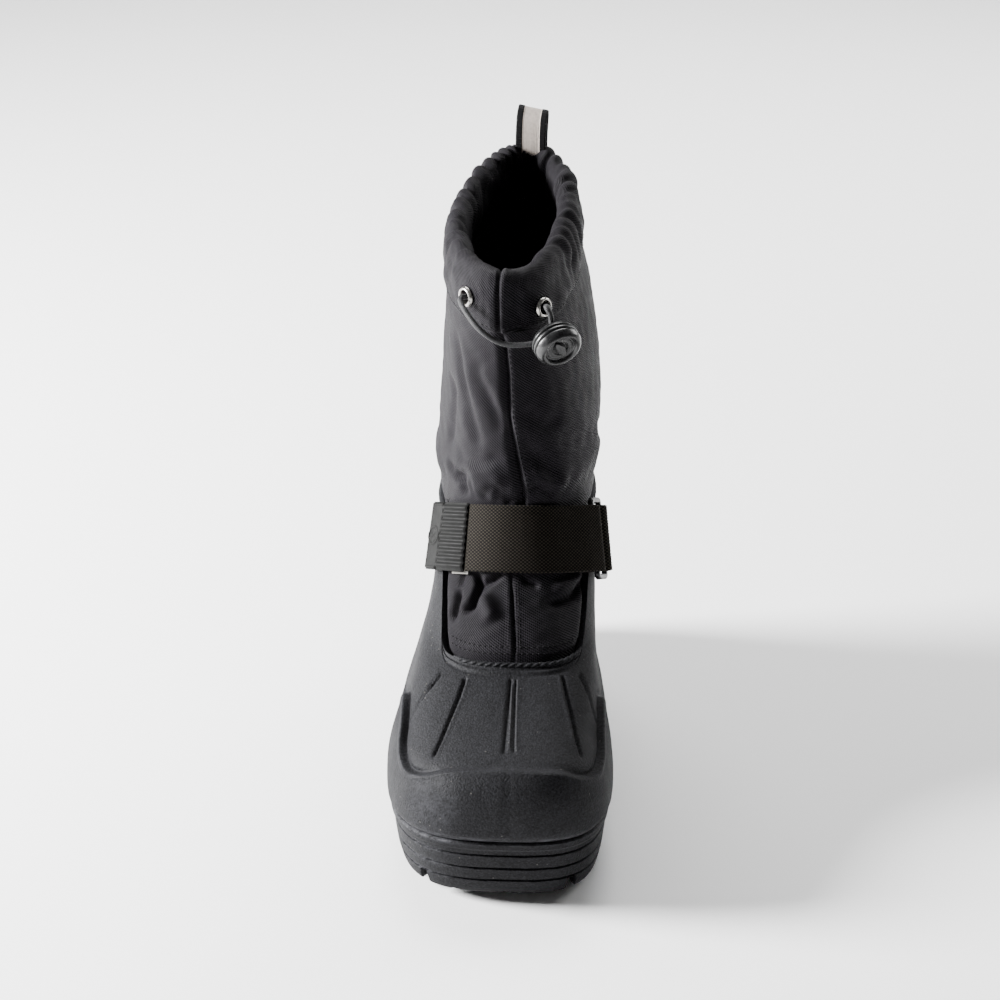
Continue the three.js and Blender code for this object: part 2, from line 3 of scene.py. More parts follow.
import bpy
import numpy as np
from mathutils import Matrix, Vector


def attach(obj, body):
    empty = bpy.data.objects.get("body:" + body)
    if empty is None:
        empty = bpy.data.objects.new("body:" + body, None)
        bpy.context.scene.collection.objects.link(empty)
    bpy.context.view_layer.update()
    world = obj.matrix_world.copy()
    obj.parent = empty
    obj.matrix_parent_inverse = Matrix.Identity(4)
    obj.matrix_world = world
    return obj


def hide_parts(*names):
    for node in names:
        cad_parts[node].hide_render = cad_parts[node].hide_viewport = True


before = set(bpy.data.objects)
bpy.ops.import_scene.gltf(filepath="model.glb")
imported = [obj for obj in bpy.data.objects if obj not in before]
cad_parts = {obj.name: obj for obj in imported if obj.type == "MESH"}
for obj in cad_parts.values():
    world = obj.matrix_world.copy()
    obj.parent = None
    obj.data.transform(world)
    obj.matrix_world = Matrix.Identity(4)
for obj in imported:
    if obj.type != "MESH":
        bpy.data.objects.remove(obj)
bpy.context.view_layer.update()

# ---------------------------------------------------------------------------------------------
# Galosh: the waterproof lower boot, one injection moulding in black rubber. It has a raised
# bumper round the toe, radial grooves over the vamp and a beaded rim round a U-shaped throat.
# All shapes here are worked out in millimetres and put into metres as a mesh is made.
# ---------------------------------------------------------------------------------------------
MIDDLE = np.array([2.9, 3.2, 0.0])  # the frame's origin lies under the middle of the boot
TOE_TO_INNER = 3.0                  # the toe's tip lies this far towards the big toe
SOLE_TOP = 32.0
TOE_SPRING = dict(rise=7.0, start=-62.0, end=-149.0)
GALOSH_WALL = 3.2
BUMPER_PROUD = 2.8

# Level slices of the foot. toe and heel: its ends along Y. wide: where it is widest. inner and
# outer: half widths. front and back: how square its ends are. waist: how far the arch pulls in.
FOOT_SLICES = dict(
    z=[0, 32, 46, 56, 64, 69, 76, 84, 92, 104, 124, 146, 176],
    toe=[-147, -149, -148, -145.5, -140.5, -133, -116, -91, -66, -52, -33, -19.5, -14],
    heel=[143, 145, 144, 141, 139, 138, 136, 134, 133, 132, 131, 133, 136],
    wide=[-62, -62, -60, -56, -52, -46, -38, -26, -8, 8, 32, 48, 58],
    inner=[50.5, 52, 52, 51, 49.5, 48, 46.5, 45.5, 45, 44.5, 44, 43.5, 43.5],
    outer=[56.5, 58.5, 58.5, 57, 54.5, 52.5, 50, 47, 44.5, 42, 40.5, 40, 40],
    front=[3.1, 3.1, 3.1, 3.0, 2.9, 2.75, 2.6, 2.5, 2.5, 2.45, 2.4, 2.3, 2.3],
    back=[2.6, 2.6, 2.5, 2.4, 2.4, 2.35, 2.3, 2.3, 2.25, 2.2, 2.2, 2.2, 2.2],
    waist=[0.22, 0.2, 0.16, 0.12, 0.1, 0.08, 0.06, 0.03, 0.01, 0, 0, 0, 0],
)
RIM = dict(
    turn=[0, 38, 49, 55, 60, 66, 74, 90, 115, 150, 180],
    z=[91.5, 91.5, 94, 104, 121, 137, 143, 142, 141, 148, 154],
)
BUMPER_LINE = dict(
    turn=[0, 22, 38, 50, 60, 70, 80, 94, 110, 180],
    z=[67, 65, 60, 58, 61, 68, 72, 62, 54, 52],
)


def smooth(start, end, value):
    """0 before start, 1 after end, and 3s^2 - 2s^3 between them."""
    s = np.clip((value - start) / (end - start), 0.0, 1.0)
    return s * s * (3.0 - 2.0 * s)


def mix(a, b, share):
    """a + (b - a) share."""
    return a + (b - a) * share


def between_rows(table, key, place):
    """Each column of a table at any place: a cubic Hermite piece between two rows, whose slopes
    come from the rows on either side of them."""
    stops = np.asarray(table[key], float)
    last = len(stops) - 1
    i = np.clip(np.searchsorted(stops, place, side="left") - 1, 0, last - 1)
    before, after = np.maximum(i - 1, 0), np.minimum(i + 2, last)
    span = stops[i + 1] - stops[i]
    t = (place - stops[i]) / span
    out = {}
    for name, column in table.items():
        v = np.asarray(column, float)
        first = (v[i + 1] - v[before]) / (stops[i + 1] - stops[before]) * span
        second = (v[after] - v[i]) / (stops[after] - stops[i]) * span
        out[name] = ((2 * t**3 - 3 * t**2 + 1) * v[i] + (t**3 - 2 * t**2 + t) * first
                     + (3 * t**2 - 2 * t**3) * v[i + 1] + (t**3 - t**2) * second)
    return out


def slice_outline(row, turn):
    """x and y of a slice: an egg of four superellipse quarters, drawn in at the arch by a bell
    round y = 38, its toe carried inwards. Turn 0 is the toe and a quarter turn the inner side."""
    s, c = np.sin(turn), np.cos(turn)
    power = 2.0 / mix(row["back"], row["front"], np.clip(0.5 + 2.5 * c, 0.0, 1.0))
    half = np.where(s >= 0, row["inner"], row["outer"])
    length = np.where(c >= 0, row["wide"] - row["toe"], row["heel"] - row["wide"])
    x = np.sign(s) * half * np.abs(s) ** power
    y = row["wide"] - np.sign(c) * length * np.abs(c) ** power
    x = x * (1.0 - row["waist"] * np.where(s >= 0, 1.0, 0.6) * np.exp(-(((y - 38.0) / 48.0) ** 2)))
    ahead = np.clip((row["wide"] - y) / (row["wide"] - row["toe"]), 0.0, 1.0)
    return x + TOE_TO_INNER * ahead**2, y


def toe_spring(y):
    """The square of the way from the ball to the tip, times the rise."""
    t = np.clip((TOE_SPRING["start"] - y) / (TOE_SPRING["start"] - TOE_SPRING["end"]), 0.0, 1.0)
    return TOE_SPRING["rise"] * t * t


def foot_form(turn, height):
    """The galosh's outer face without its relief: a slice at each height, lifted by the toe
    spring, which fades out over the vamp."""
    x, y = slice_outline(between_rows(FOOT_SLICES, "z", height), turn)
    z = height + toe_spring(y) * (1.0 - smooth(60.0, 92.0, height))
    return np.stack([x, y, z + 0 * x], -1) + MIDDLE


def unit(v):
    """Vectors divided by their lengths."""
    return v / np.linalg.norm(v, axis=-1, keepdims=True)


def run_along(line):
    """How far along a line each of its points is."""
    return np.concatenate([[0], np.cumsum(np.linalg.norm(np.diff(line, axis=0), axis=1))])


def bell(off, width):
    """1 where off is 0, falling away on both sides: e to minus the square of off / width."""
    return np.exp(-((off / width) ** 2))


def outward(form, turn, height):
    """The outward normal of a form: its change with turn crossed with its change with height."""
    across = form(turn + 0.02, height) - form(turn - 0.02, height)
    up = form(turn, height + 0.8) - form(turn, height - 0.8)
    return unit(np.cross(across, up))


def line_height(line, turn):
    """A line's height at a turn either way from the toe."""
    return between_rows(line, "turn",
                        np.degrees(np.abs(np.arctan2(np.sin(turn), np.cos(turn)))))["z"]


def crease(points, stops, depth, width, fade=0.2):
    """A soft trough (depth below 0) or ridge: the depth times a bell of the distance to the line
    through the stops, fading out towards the line's two ends."""
    stops = np.asarray(stops, float)
    runs = run_along(stops)
    near = np.all((points > stops.min(0) - 3 * width) & (points < stops.max(0) + 3 * width),
                  axis=-1)
    p = points[near]
    best = np.full(len(p), 1e9)
    place = np.zeros(len(p))
    for a, b, run in zip(stops[:-1], stops[1:], runs):
        t = np.clip(((p - a) @ (b - a)) / ((b - a) @ (b - a)), 0, 1)
        d = np.linalg.norm(p - a - t[:, None] * (b - a), axis=1)
        closer = d < best
        best = np.where(closer, d, best)
        place = np.where(closer, (run + t * np.linalg.norm(b - a)) / runs[-1], place)
    out = np.zeros(points.shape[:-1])
    ends = smooth(0, fade, place) * smooth(1, 1 - fade, place) if fade else 1.0
    out[near] = depth * bell(best, width) * ends
    return out


def ripple(points, seed, size, count=14):
    """Smooth noise about 1 high: a sum of sine waves about a size long, in seeded directions."""
    draw = np.random.default_rng(seed)
    waves = draw.normal(size=(count, 3)) / size * 2.2
    phases = draw.uniform(0, tau, count)
    total = np.zeros(points.shape[:-1])
    for wave, phase in zip(waves, phases):
        total += np.sin(points @ wave + phase)
    return total / np.sqrt(count)


def ring_faces(rows, columns, joined):
    """Quads of a grid whose rows are rings; joined, the last row also meets the first."""
    i, j = np.meshgrid(np.arange(rows if joined else rows - 1), np.arange(columns), indexing="ij")
    k, m = (i + 1) % rows, (j + 1) % columns
    return np.stack([i * columns + j, i * columns + m, k * columns + m, k * columns + j],
                    -1).reshape(-1, 4)


def put_mesh(name, points, faces, material, uv=None, marks=None, sharp=42.0, caps=()):
    """A finished piece: points in mm put into metres, quads turned to face out, the flat ends,
    UVs in mm for each corner, and marks for each point. A negative volume means facing in."""
    points = np.asarray(points, float).reshape(-1, 3) * 0.001
    a, b, c, d = ((points - points.mean(0))[faces[:, k]] for k in range(4))
    volume = np.sum(a * np.cross(b, c)) + np.sum(a * np.cross(c, d))
    if volume < 0:
        faces = faces[:, ::-1].copy()
        caps = [list(cap)[::-1] for cap in caps]
        uv = None if uv is None else uv.reshape(-1, 4, 2)[:, ::-1].reshape(-1, 2)
    mesh = bpy.data.meshes.new(name)
    if len(caps):
        mesh.from_pydata(points.tolist(), [], faces.tolist() + [list(map(int, c)) for c in caps])
    else:
        mesh.vertices.add(len(points))
        mesh.vertices.foreach_set("co", points.ravel())
        mesh.loops.add(faces.size)
        mesh.loops.foreach_set("vertex_index", faces.ravel().astype(np.int32))
        mesh.polygons.add(len(faces))
        mesh.polygons.foreach_set("loop_start", np.arange(0, faces.size, 4, dtype=np.int32))
        mesh.update(calc_edges=True)
    if uv is not None:
        layer = mesh.uv_layers.new(name="UVMap")
        flat = np.zeros((len(mesh.loops), 2))
        flat[: uv.shape[0]] = uv
        layer.data.foreach_set("uv", flat.ravel())
    for label, values in (marks or {}).items():
        mark = mesh.attributes.new(label, "FLOAT", "POINT")
        mark.data.foreach_set("value", np.asarray(values, float).ravel())
    mesh.validate()
    mesh.polygons.foreach_set("use_smooth", [True] * len(mesh.polygons))
    mesh.set_sharp_from_angle(angle=radians(sharp))
    mesh.materials.append(material)
    piece = bpy.data.objects.new(name, mesh)
    bpy.context.collection.objects.link(piece)
    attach(piece, "root")
    return piece


def ring_uv(u, v, joined):
    """UVs in mm for every corner of a ring grid. u has one more column than the grid."""
    rows = v.shape[0]
    i = np.arange(rows if joined else rows - 1)
    k = (i + 1) % rows
    a = np.stack([u[i][:, :-1], v[i][:, :-1]], -1)
    b = np.stack([u[i][:, 1:], v[i][:, 1:]], -1)
    c = np.stack([u[k][:, 1:], v[k][:, 1:]], -1)
    d = np.stack([u[k][:, :-1], v[k][:, :-1]], -1)
    return np.stack([a, b, c, d], 2).reshape(-1, 2)


def turns_and_heights(columns, shares):
    """The galosh's grid: columns leave the sole evenly and slide round the throat, so that they
    meet the rim evenly along its length. Below share 0.35 they climb to the bumper's line."""
    fine = np.linspace(0, tau, 1441)
    rim = foot_form(fine, line_height(RIM, fine))
    run = run_along(rim)
    low = np.arange(columns) / columns * tau
    high = np.interp(low / tau, run / run[-1], fine)
    s = shares[:, None]
    turn = mix(low, high, s)
    line, top = line_height(BUMPER_LINE, turn), line_height(RIM, high)[None]
    foot = SOLE_TOP + 0.3
    height = np.where(s < 0.35, mix(foot, line, s / 0.35), mix(line, top, (s - 0.35) / 0.65))
    return turn, height


def stretches(*parts):
    """Even steps over several stretches in turn, each from a start to an end in a count, with
    the ends they share kept once."""
    return np.concatenate([np.linspace(*part)[:-1] for part in parts[:-1]]
                          + [np.linspace(*parts[-1])])


galosh_shares = stretches((0, 0.04, 7), (0.04, 0.31, 22), (0.31, 0.4, 30), (0.4, 0.9, 44),
                          (0.9, 1, 22))
GALOSH_COLUMNS = 560
galosh_turn, galosh_height = turns_and_heights(GALOSH_COLUMNS, galosh_shares)
galosh_base = foot_form(galosh_turn, galosh_height)
galosh_out = outward(foot_form, galosh_turn, galosh_height)
step = np.linalg.norm(np.diff(galosh_base, axis=0), axis=-1)
from_rim = np.concatenate([np.cumsum(step[::-1], axis=0)[::-1], np.zeros((1, step.shape[1]))])
side = np.abs(np.arctan2(np.sin(galosh_turn), np.cos(galosh_turn)))
bumper_line = line_height(BUMPER_LINE, galosh_turn)
# The bumper dies away between 81 and 95 degrees round from the toe.
reach = 1 - smooth(1.42, 1.66, side)
# The step is crisp at the bumper's wings and softer across the toe.
crisp = smooth(0.45, 0.85, side)
above = galosh_height - bumper_line
relief = BUMPER_PROUD * reach * (1 - smooth(-mix(2.2, 0.5, crisp), mix(2.0, 0.9, crisp), above))
relief -= mix(0.25, 1.1, crisp) * reach * bell(above - 1.6, mix(1.6, 1.0, crisp))
relief += 0.5 * reach * bell(above + 1.6, 1.3)
# The lower edge tucks in over the sole.
relief -= 2.4 * (1 - smooth(SOLE_TOP - 1, SOLE_TOP + 5.5, galosh_height)) ** 2
# Two beads run along the rim, with a fine groove between them.
relief += 1.0 * bell(from_rim - 1.5, 1.2) + 0.7 * bell(from_rim - 4.6, 1.1)
relief -= 0.4 * bell(from_rim - 7.2, 1.2)
relief -= 0.5 * bell(from_rim, 0.5)
galosh_skin = galosh_base + galosh_out * relief[..., None]

# Radial grooves over the vamp, each from near the bead to near the bumper: turn and height.
VAMP_GROOVES = [
    dict(turn=[-45.2, -51, -57, -62.5, -67.6], z=[86.5, 83.5, 80.4, 75, 69.5], deep=0.55, wide=0.9),
    dict(turn=[-25.2, -28.2, -31.6, -34.2, -36.4], z=[88, 83.5, 78.5, 72.6, 66.8],
         deep=0.95, wide=1.0),
    dict(turn=[-0.3, -0.7, -0.9, -0.9], z=[89, 84, 78, 71.5], deep=0.8, wide=0.8),
    dict(turn=[0.9, 0.9, 0.9, 0.9], z=[89, 84, 78, 71.5], deep=0.55, wide=0.7),
    dict(turn=[29.2, 33, 36.8, 39.6, 42], z=[88.5, 84, 79.5, 72.8, 66.5], deep=0.95, wide=1.0),
    dict(turn=[47, 53, 59, 64, 69], z=[86.5, 83.5, 80, 74.5, 69], deep=0.55, wide=0.9),
]
groove_depth = np.zeros_like(relief)
for groove in VAMP_GROOVES:
    line = foot_form(np.radians(np.array(groove["turn"])), np.array(groove["z"], float))
    groove_depth += crease(galosh_base, line, -1.7 * groove["deep"], groove["wide"], fade=0.06)
    beside = line + [1.5 if groove["turn"][0] < 20 else -1.5, 0, 0.3]
    groove_depth += crease(galosh_base, beside, 0.5 * groove["deep"], groove["wide"], fade=0.06)
# The two halves of the mould met along the middle of the toe: a fine groove, with a faint
# ridge beside it.
parting = foot_form(np.zeros(6), np.linspace(33.0, 68.0, 6))
groove_depth += crease(galosh_base, parting, -0.5, 0.8, fade=0.02)
groove_depth += crease(galosh_base, parting - [1.9, 0, 0], 0.2, 1.0, fade=0.02)
groove_depth += 0.14 * ripple(galosh_base, 3, 26.0) + 0.05 * ripple(galosh_base, 4, 7.0)
galosh_skin = galosh_skin + galosh_out * groove_depth[..., None]

# A worn, dusty film: strongest along the lower edge, weaker on the wings and the toe's left.
scuffed = (0.3 * crease(galosh_base, foot_form(np.radians([-46.0, -30.0, -12.0]),
                                               np.array([50.0, 48.0, 46.0])), 1, 14)
           + 0.8 * bell(galosh_height - SOLE_TOP - 1.2, 1.6)
           + 0.35 * reach * crisp * bell(above + 1.2, 1.2))

inner_shares = np.array([1.0, 0.985, 0.96, 0.9, 0.8, 0.68, 0.55, 0.42, 0.3, 0.18, 0.08, 0.0])
inner_turn, inner_height = turns_and_heights(GALOSH_COLUMNS, inner_shares)
galosh_lining = foot_form(inner_turn, inner_height)
galosh_lining -= outward(foot_form, inner_turn, inner_height) * GALOSH_WALL
crest = (galosh_skin[-1] + galosh_lining[0]) / 2 + np.array([0, 0, 0.5])
galosh_points = np.concatenate([galosh_skin, crest[None], galosh_lining])
scuffed = np.concatenate([scuffed, np.zeros((1 + len(inner_shares), GALOSH_COLUMNS))])


def linear(code):
    """An sRGB hex colour as linear red, green, blue and alpha."""
    parts = [int(code[k:k + 2], 16) / 255 for k in (1, 3, 5)]
    return (*[c / 12.92 if c <= 0.04045 else ((c + 0.055) / 1.055) ** 2.4 for c in parts], 1.0)


def node(material, kind, settings=None, **sockets):
    """Adds a node. settings go on the node, and each socket takes a value or another's output."""
    made = material.node_tree.nodes.new(kind)
    for name, value in (settings or {}).items():
        setattr(made, name, value)
    for name, value in sockets.items():
        key = int(name[1:]) if name[0] == "i" and name[1:].isdigit() else name.replace("_", " ")
        socket = made.inputs[key]
        if isinstance(value, bpy.types.NodeSocket):
            material.node_tree.links.new(value, socket)
        else:
            socket.default_value = value
    return made


def bare_material(name):
    """A new material with no nodes."""
    material = bpy.data.materials.new(name)
    material.use_nodes = True
    material.node_tree.nodes.clear()
    return material


def moulded_rubber(name, dark, light, speckle, grain_mm, scuff_colour):
    """Moulded black rubber: a matt, near-black body with a fine pebble from the mould, a
    cloudy bloom where it has aged, and grey scuffs and grit where it has been walked in."""
    m = bare_material(name)
    place = node(m, "ShaderNodeTexCoord").outputs["Object"]
    bloom = node(m, "ShaderNodeTexNoise", Vector=place, Scale=28.0, Detail=5.0, Roughness=0.62)
    mottle = node(m, "ShaderNodeTexNoise", Vector=place, Scale=900.0, Detail=3.0, Roughness=0.65)
    grain = node(m, "ShaderNodeTexNoise", Vector=place, Scale=1.0 / (grain_mm * 0.001), Detail=2.0)
    turned = node(m, "ShaderNodeMapping", Vector=place, Rotation=(0.3, 0.2, 0.9),
                  Scale=(90, 420, 420))
    streak = node(m, "ShaderNodeTexNoise", Vector=turned.outputs[0], Scale=1.0, Detail=4.0,
                  Roughness=0.7)
    grit = node(m, "ShaderNodeTexVoronoi", Vector=place, Scale=190.0, Randomness=1.0)
    speck = node(m, "ShaderNodeMath", {"operation": "LESS_THAN"}, i0=grit.outputs["Distance"],
                 i1=0.085)
    some = node(m, "ShaderNodeSeparateColor", Color=grit.outputs["Color"])
    rare = node(m, "ShaderNodeMath", {"operation": "GREATER_THAN"}, i0=some.outputs[0], i1=0.6)
    dots = node(m, "ShaderNodeMath", {"operation": "MULTIPLY"}, i0=speck.outputs[0],
                i1=rare.outputs[0])
    body = node(m, "ShaderNodeMix", {"data_type": "RGBA"}, i0=bloom.outputs[0], i6=linear(dark),
                i7=linear(light))
    fine = node(m, "ShaderNodeMapRange", Value=mottle.outputs[0], i1=0.38, i2=0.66, i3=0.0, i4=0.95)
    mid = node(m, "ShaderNodeMix", {"data_type": "RGBA"}, i0=fine.outputs[0], i6=body.outputs[2],
               i7=linear(speckle))
    worn = node(m, "ShaderNodeAttribute", {"attribute_name": "scuffed"})
    ragged = node(m, "ShaderNodeMapRange", Value=streak.outputs[0], i1=0.42, i2=0.66, i3=0.0,
                  i4=1.0)
    wear = node(m, "ShaderNodeMath", {"operation": "MULTIPLY", "use_clamp": True},
                i0=worn.outputs["Fac"], i1=ragged.outputs[0])
    scuff = node(m, "ShaderNodeMix", {"data_type": "RGBA"}, i0=wear.outputs[0], i6=mid.outputs[2],
                 i7=linear(scuff_colour))
    faint = node(m, "ShaderNodeMath", {"operation": "MULTIPLY"}, i0=dots.outputs[0], i1=0.5)
    colour = node(m, "ShaderNodeMix", {"data_type": "RGBA"}, i0=faint.outputs[0],
                  i6=scuff.outputs[2], i7=linear("#4c4a47"))
    rough = node(m, "ShaderNodeMapRange", Value=bloom.outputs[0], i1=0.3, i2=0.7, i3=0.6, i4=0.78)
    pebble = node(m, "ShaderNodeBump", Height=grain.outputs[0], Strength=1.0, Distance=0.0004)
    scratch = node(m, "ShaderNodeBump", Height=streak.outputs[0], Strength=0.12, Distance=0.0002,
                   Normal=pebble.outputs[0])
    shader = node(m, "ShaderNodeBsdfPrincipled", Base_Color=colour.outputs[2],
                  Roughness=rough.outputs[0], IOR=1.52, Specular_IOR_Level=0.12,
                  Normal=scratch.outputs[0])
    node(m, "ShaderNodeOutputMaterial", Surface=shader.outputs[0])
    return m


galosh_rubber = moulded_rubber("moulded_galosh_rubber", "#060607", "#111113", "#1f1f22", 0.9,
                               "#3a3a3e")
galosh = put_mesh("galosh_moulding", galosh_points,
                  ring_faces(len(galosh_points), GALOSH_COLUMNS, True),
                  galosh_rubber, marks={"scuffed": scuffed})
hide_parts("galosh")

# ---------------------------------------------------------------------------------------------
# Throat rope: the bead across the bottom of the throat is moulded as a three-strand rope, and runs
# out into the plain bead at both corners. Same rubber and same shot as the galosh.
# ---------------------------------------------------------------------------------------------
ROPE = dict(radius=1.35, twist_mm=3.9, strands=3)
rope_turn = np.radians(np.linspace(-36.0, 47.0, 420))
rope_height = line_height(RIM, rope_turn) - 0.2
rope_path = foot_form(rope_turn, rope_height) + outward(foot_form, rope_turn, rope_height) * 0.9


def tube(path, radius, around=20, relief=None, square_to=(0.0, 0.0, 1.0)):
    """A closed tube along a path: circles square to it, with a radius that may vary with the way
    round and along. One axis of each circle is the path's direction crossed with a fixed one."""
    along = unit(np.gradient(path, axis=0))
    sideways = unit(np.cross(along, square_to))
    other = np.cross(along, sideways)
    way = np.arange(around) / around * tau
    size = np.broadcast_to(np.asarray(radius, float).reshape(-1, 1), (len(path), around))
    if relief is not None:
        size = size + relief(way[None, :])
    ring = (sideways[:, None] * np.cos(way)[None, :, None]
            + other[:, None] * np.sin(way)[None, :, None])
    points = path[:, None] + ring * size[..., None]
    last = (len(path) - 1) * around
    ends = [list(range(around))[::-1], list(range(last, last + around))]
    return points.reshape(-1, 3), ring_faces(len(path), around, False), ends


rope_run = run_along(rope_path)
rope_ends = smooth(0, 6, rope_run) * smooth(rope_run[-1], rope_run[-1] - 6, rope_run)
rope_points, rope_quads, rope_caps = tube(
    rope_path, ROPE["radius"] * mix(0.55, 1.0, rope_ends), 24,
    lambda way: 0.2 * rope_ends[:, None] * np.cos(ROPE["strands"] * way
                                                  + tau * rope_run[:, None] / ROPE["twist_mm"]),
)
put_mesh("throat_rope", rope_points, rope_quads, galosh_rubber,
         caps=rope_caps, marks={"scuffed": np.zeros(len(rope_points))})

# ---------------------------------------------------------------------------------------------
# Outsole: a thick moulded rubber sole, cemented under the galosh. Three grooves run round its
# side, and bars of tread stand between slots cut in from the edge, with an arch before the heel.
# ---------------------------------------------------------------------------------------------
SIDE_GROOVES = [23.5, 15.7, 8.5]  # heights, before the toe spring
LUG_DEEP = 8.0
SLOT_WIDE = 5.0
ARCH = dict(start=18.0, end=52.0, rise=6.0)
# Slots: the middle of each, its length, and its turn in degrees from straight across.
SLOTS = (
    [(-42, -140, 34, 62), (36, -142, 34, -66)]
    + [(x, y, 44, turn) for y in (-108, -82, -56, -30, -6) for x, turn in ((-52, 14), (48, -14))]
    + [(-1, y, 40, 0) for y in (-96, -68, -40)]
    + [(x, y, 34, turn) for y in (76, 98, 120) for x, turn in ((-44, -12), (41, 12))]
    + [(0, y, 26, 0) for y in (86, 110)]
)
SOLE_COLUMNS = 640
sole_way = np.arange(SOLE_COLUMNS) / SOLE_COLUMNS * tau


def sole_outline(height, inset):
    """A slice of the foot drawn in by an inset along its own level normal."""
    def level(turn):
        x, y = slice_outline(between_rows(FOOT_SLICES, "z", height), turn)
        return np.stack([x + 0 * y, y], -1)
    along = unit(level(sole_way + 0.01) - level(sole_way - 0.01))
    return level(sole_way) - np.stack([along[:, 1], -along[:, 0]], -1) * np.reshape(inset, (-1, 1))


def tread_lift(x, y):
    """How far up the underside goes at x, y: flat roofs in the slots and the arch, with steep
    walls, and a shallow groove every 13 mm across the bars between."""
    lift = np.zeros_like(x)
    for sx, sy, length, turn in SLOTS:
        a, b = cos(radians(turn)), sin(radians(turn))
        along, across = (x - sx) * a + (y - sy) * b, -(x - sx) * b + (y - sy) * a
        inside = smooth(length / 2 + 0.5, length / 2 - 0.3, np.abs(along))
        inside = inside * smooth(SLOT_WIDE / 2 + 0.6, SLOT_WIDE / 2 - 0.3, np.abs(across))
        lift = np.maximum(lift, LUG_DEEP * inside)
    mid = (ARCH["start"] + ARCH["end"]) / 2
    arch = smooth((ARCH["end"] - ARCH["start"]) / 2 + 0.6, (ARCH["end"] - ARCH["start"]) / 2 - 0.6,
                  np.abs(y - mid))
    lift = np.maximum(lift, ARCH["rise"] * arch)
    sipe = (smooth(0.75, 0.95, np.cos(tau * (y + 4 * np.sin(x / 9)) / 13))
            * (1 - smooth(34, 36, np.abs(x))))
    return np.maximum(lift, 1.6 * sipe)


side_height = np.concatenate([
    np.linspace(0, 2.2, 5), np.linspace(3, 6.6, 5), np.linspace(7.2, 9.9, 9),
    np.linspace(11, 14, 4), np.linspace(14.5, 17.1, 9), np.linspace(18, 21.8, 4),
    np.linspace(22.2, 24.9, 9), np.linspace(25.6, 27.4, 4), np.linspace(27.8, 32, 12),
])
side_inset = np.interp(side_height, [0, 1, 2.6, 8, 17, 30.5, 32],
                       [3.4, 2.2, 1.6, 0.6, 0, -0.4, 1.0])
side_rows = []
for height, inset in zip(side_height, side_inset):
    wave = 0.12 * np.sin(sole_way * 23 + height) + 0.1 * np.sin(sole_way * 57 + 2 * height)
    cut = sum(1.25 * np.exp(-(((height - g - wave * 0.6) / 0.52) ** 4)) for g in SIDE_GROOVES)
    ledge = 1.1 * smooth(26.4, 27.8, height) * (1 - smooth(31.0, 32.0, height))
    flat = sole_outline(height, inset + cut - ledge)
    side_rows.append(np.column_stack([flat, np.full(SOLE_COLUMNS, height)]))
base = side_rows[0]
spine = (base + base[(-np.arange(SOLE_COLUMNS)) % SOLE_COLUMNS]) / 2
under = [mix(base, spine, share) for share in np.linspace(1, 0, 52)[:-1]]
top = side_rows[-1]
top_spine = (top + top[(-np.arange(SOLE_COLUMNS)) % SOLE_COLUMNS]) / 2
over = [mix(top, top_spine, share) for share in (0.06, 0.5, 1.0)]
sole_points = np.stack(under + side_rows + over)
lift = tread_lift(sole_points[..., 0], sole_points[..., 1])
sole_points[..., 2] = np.maximum(sole_points[..., 2],
                                 np.where(sole_points[..., 2] < LUG_DEEP, lift, 0))
sole_height = sole_points[..., 2].copy()
sole_points[..., 2] += toe_spring(sole_points[..., 1])
sole_points += MIDDLE
left_side = smooth(10, -40, sole_points[..., 0]) * smooth(60, -60, sole_points[..., 1])
sole_scuff = (0.9 * bell(sole_height - 30.6, 0.9) * mix(0.35, 1.0, left_side)
              + sum(0.55 * bell(sole_height - g, 1.1) for g in SIDE_GROOVES) * left_side)
sole_rubber = moulded_rubber("moulded_sole_rubber", "#060607", "#101012", "#1d1d20", 0.9, "#46464a")
outsole = put_mesh("outsole_moulding", sole_points, ring_faces(*sole_points.shape[:2], False),
                   sole_rubber, marks={"scuffed": sole_scuff}, sharp=34.0)
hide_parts("outsole")

# ---------------------------------------------------------------------------------------------
# Insole: a felt board that lies loose inside on the sole, die-cut to the inside of the galosh.
# ---------------------------------------------------------------------------------------------
INSOLE_INSET = 4.7
# Round its edge: how far above the sole, and how much further in.
insole_stops = [(0.3, 0.6), (0.3, 0.15), (0.9, 0), (3.8, 0), (4.5, 0.2), (4.8, 0.8), (4.8, 3),
                (4.8, 8)]
insole_rows = [np.column_stack([sole_outline(SOLE_TOP, INSOLE_INSET + inset),
                                np.full(SOLE_COLUMNS, SOLE_TOP + up)])[::4]
               for up, inset in insole_stops]
middle_low = (insole_rows[0] + np.roll(insole_rows[0][::-1], 1, axis=0)) / 2
middle_high = (insole_rows[-1] + np.roll(insole_rows[-1][::-1], 1, axis=0)) / 2
insole_rows = ([middle_low] + insole_rows
               + [mix(insole_rows[-1], middle_high, share) for share in np.linspace(0, 1, 26)[1:]])
insole_points = np.stack(insole_rows)
insole_points[..., 2] += toe_spring(insole_points[..., 1])
insole_points += MIDDLE
insole_points[9:, :, 2] += 0.12 * ripple(insole_points[9:], 21, 9.0)

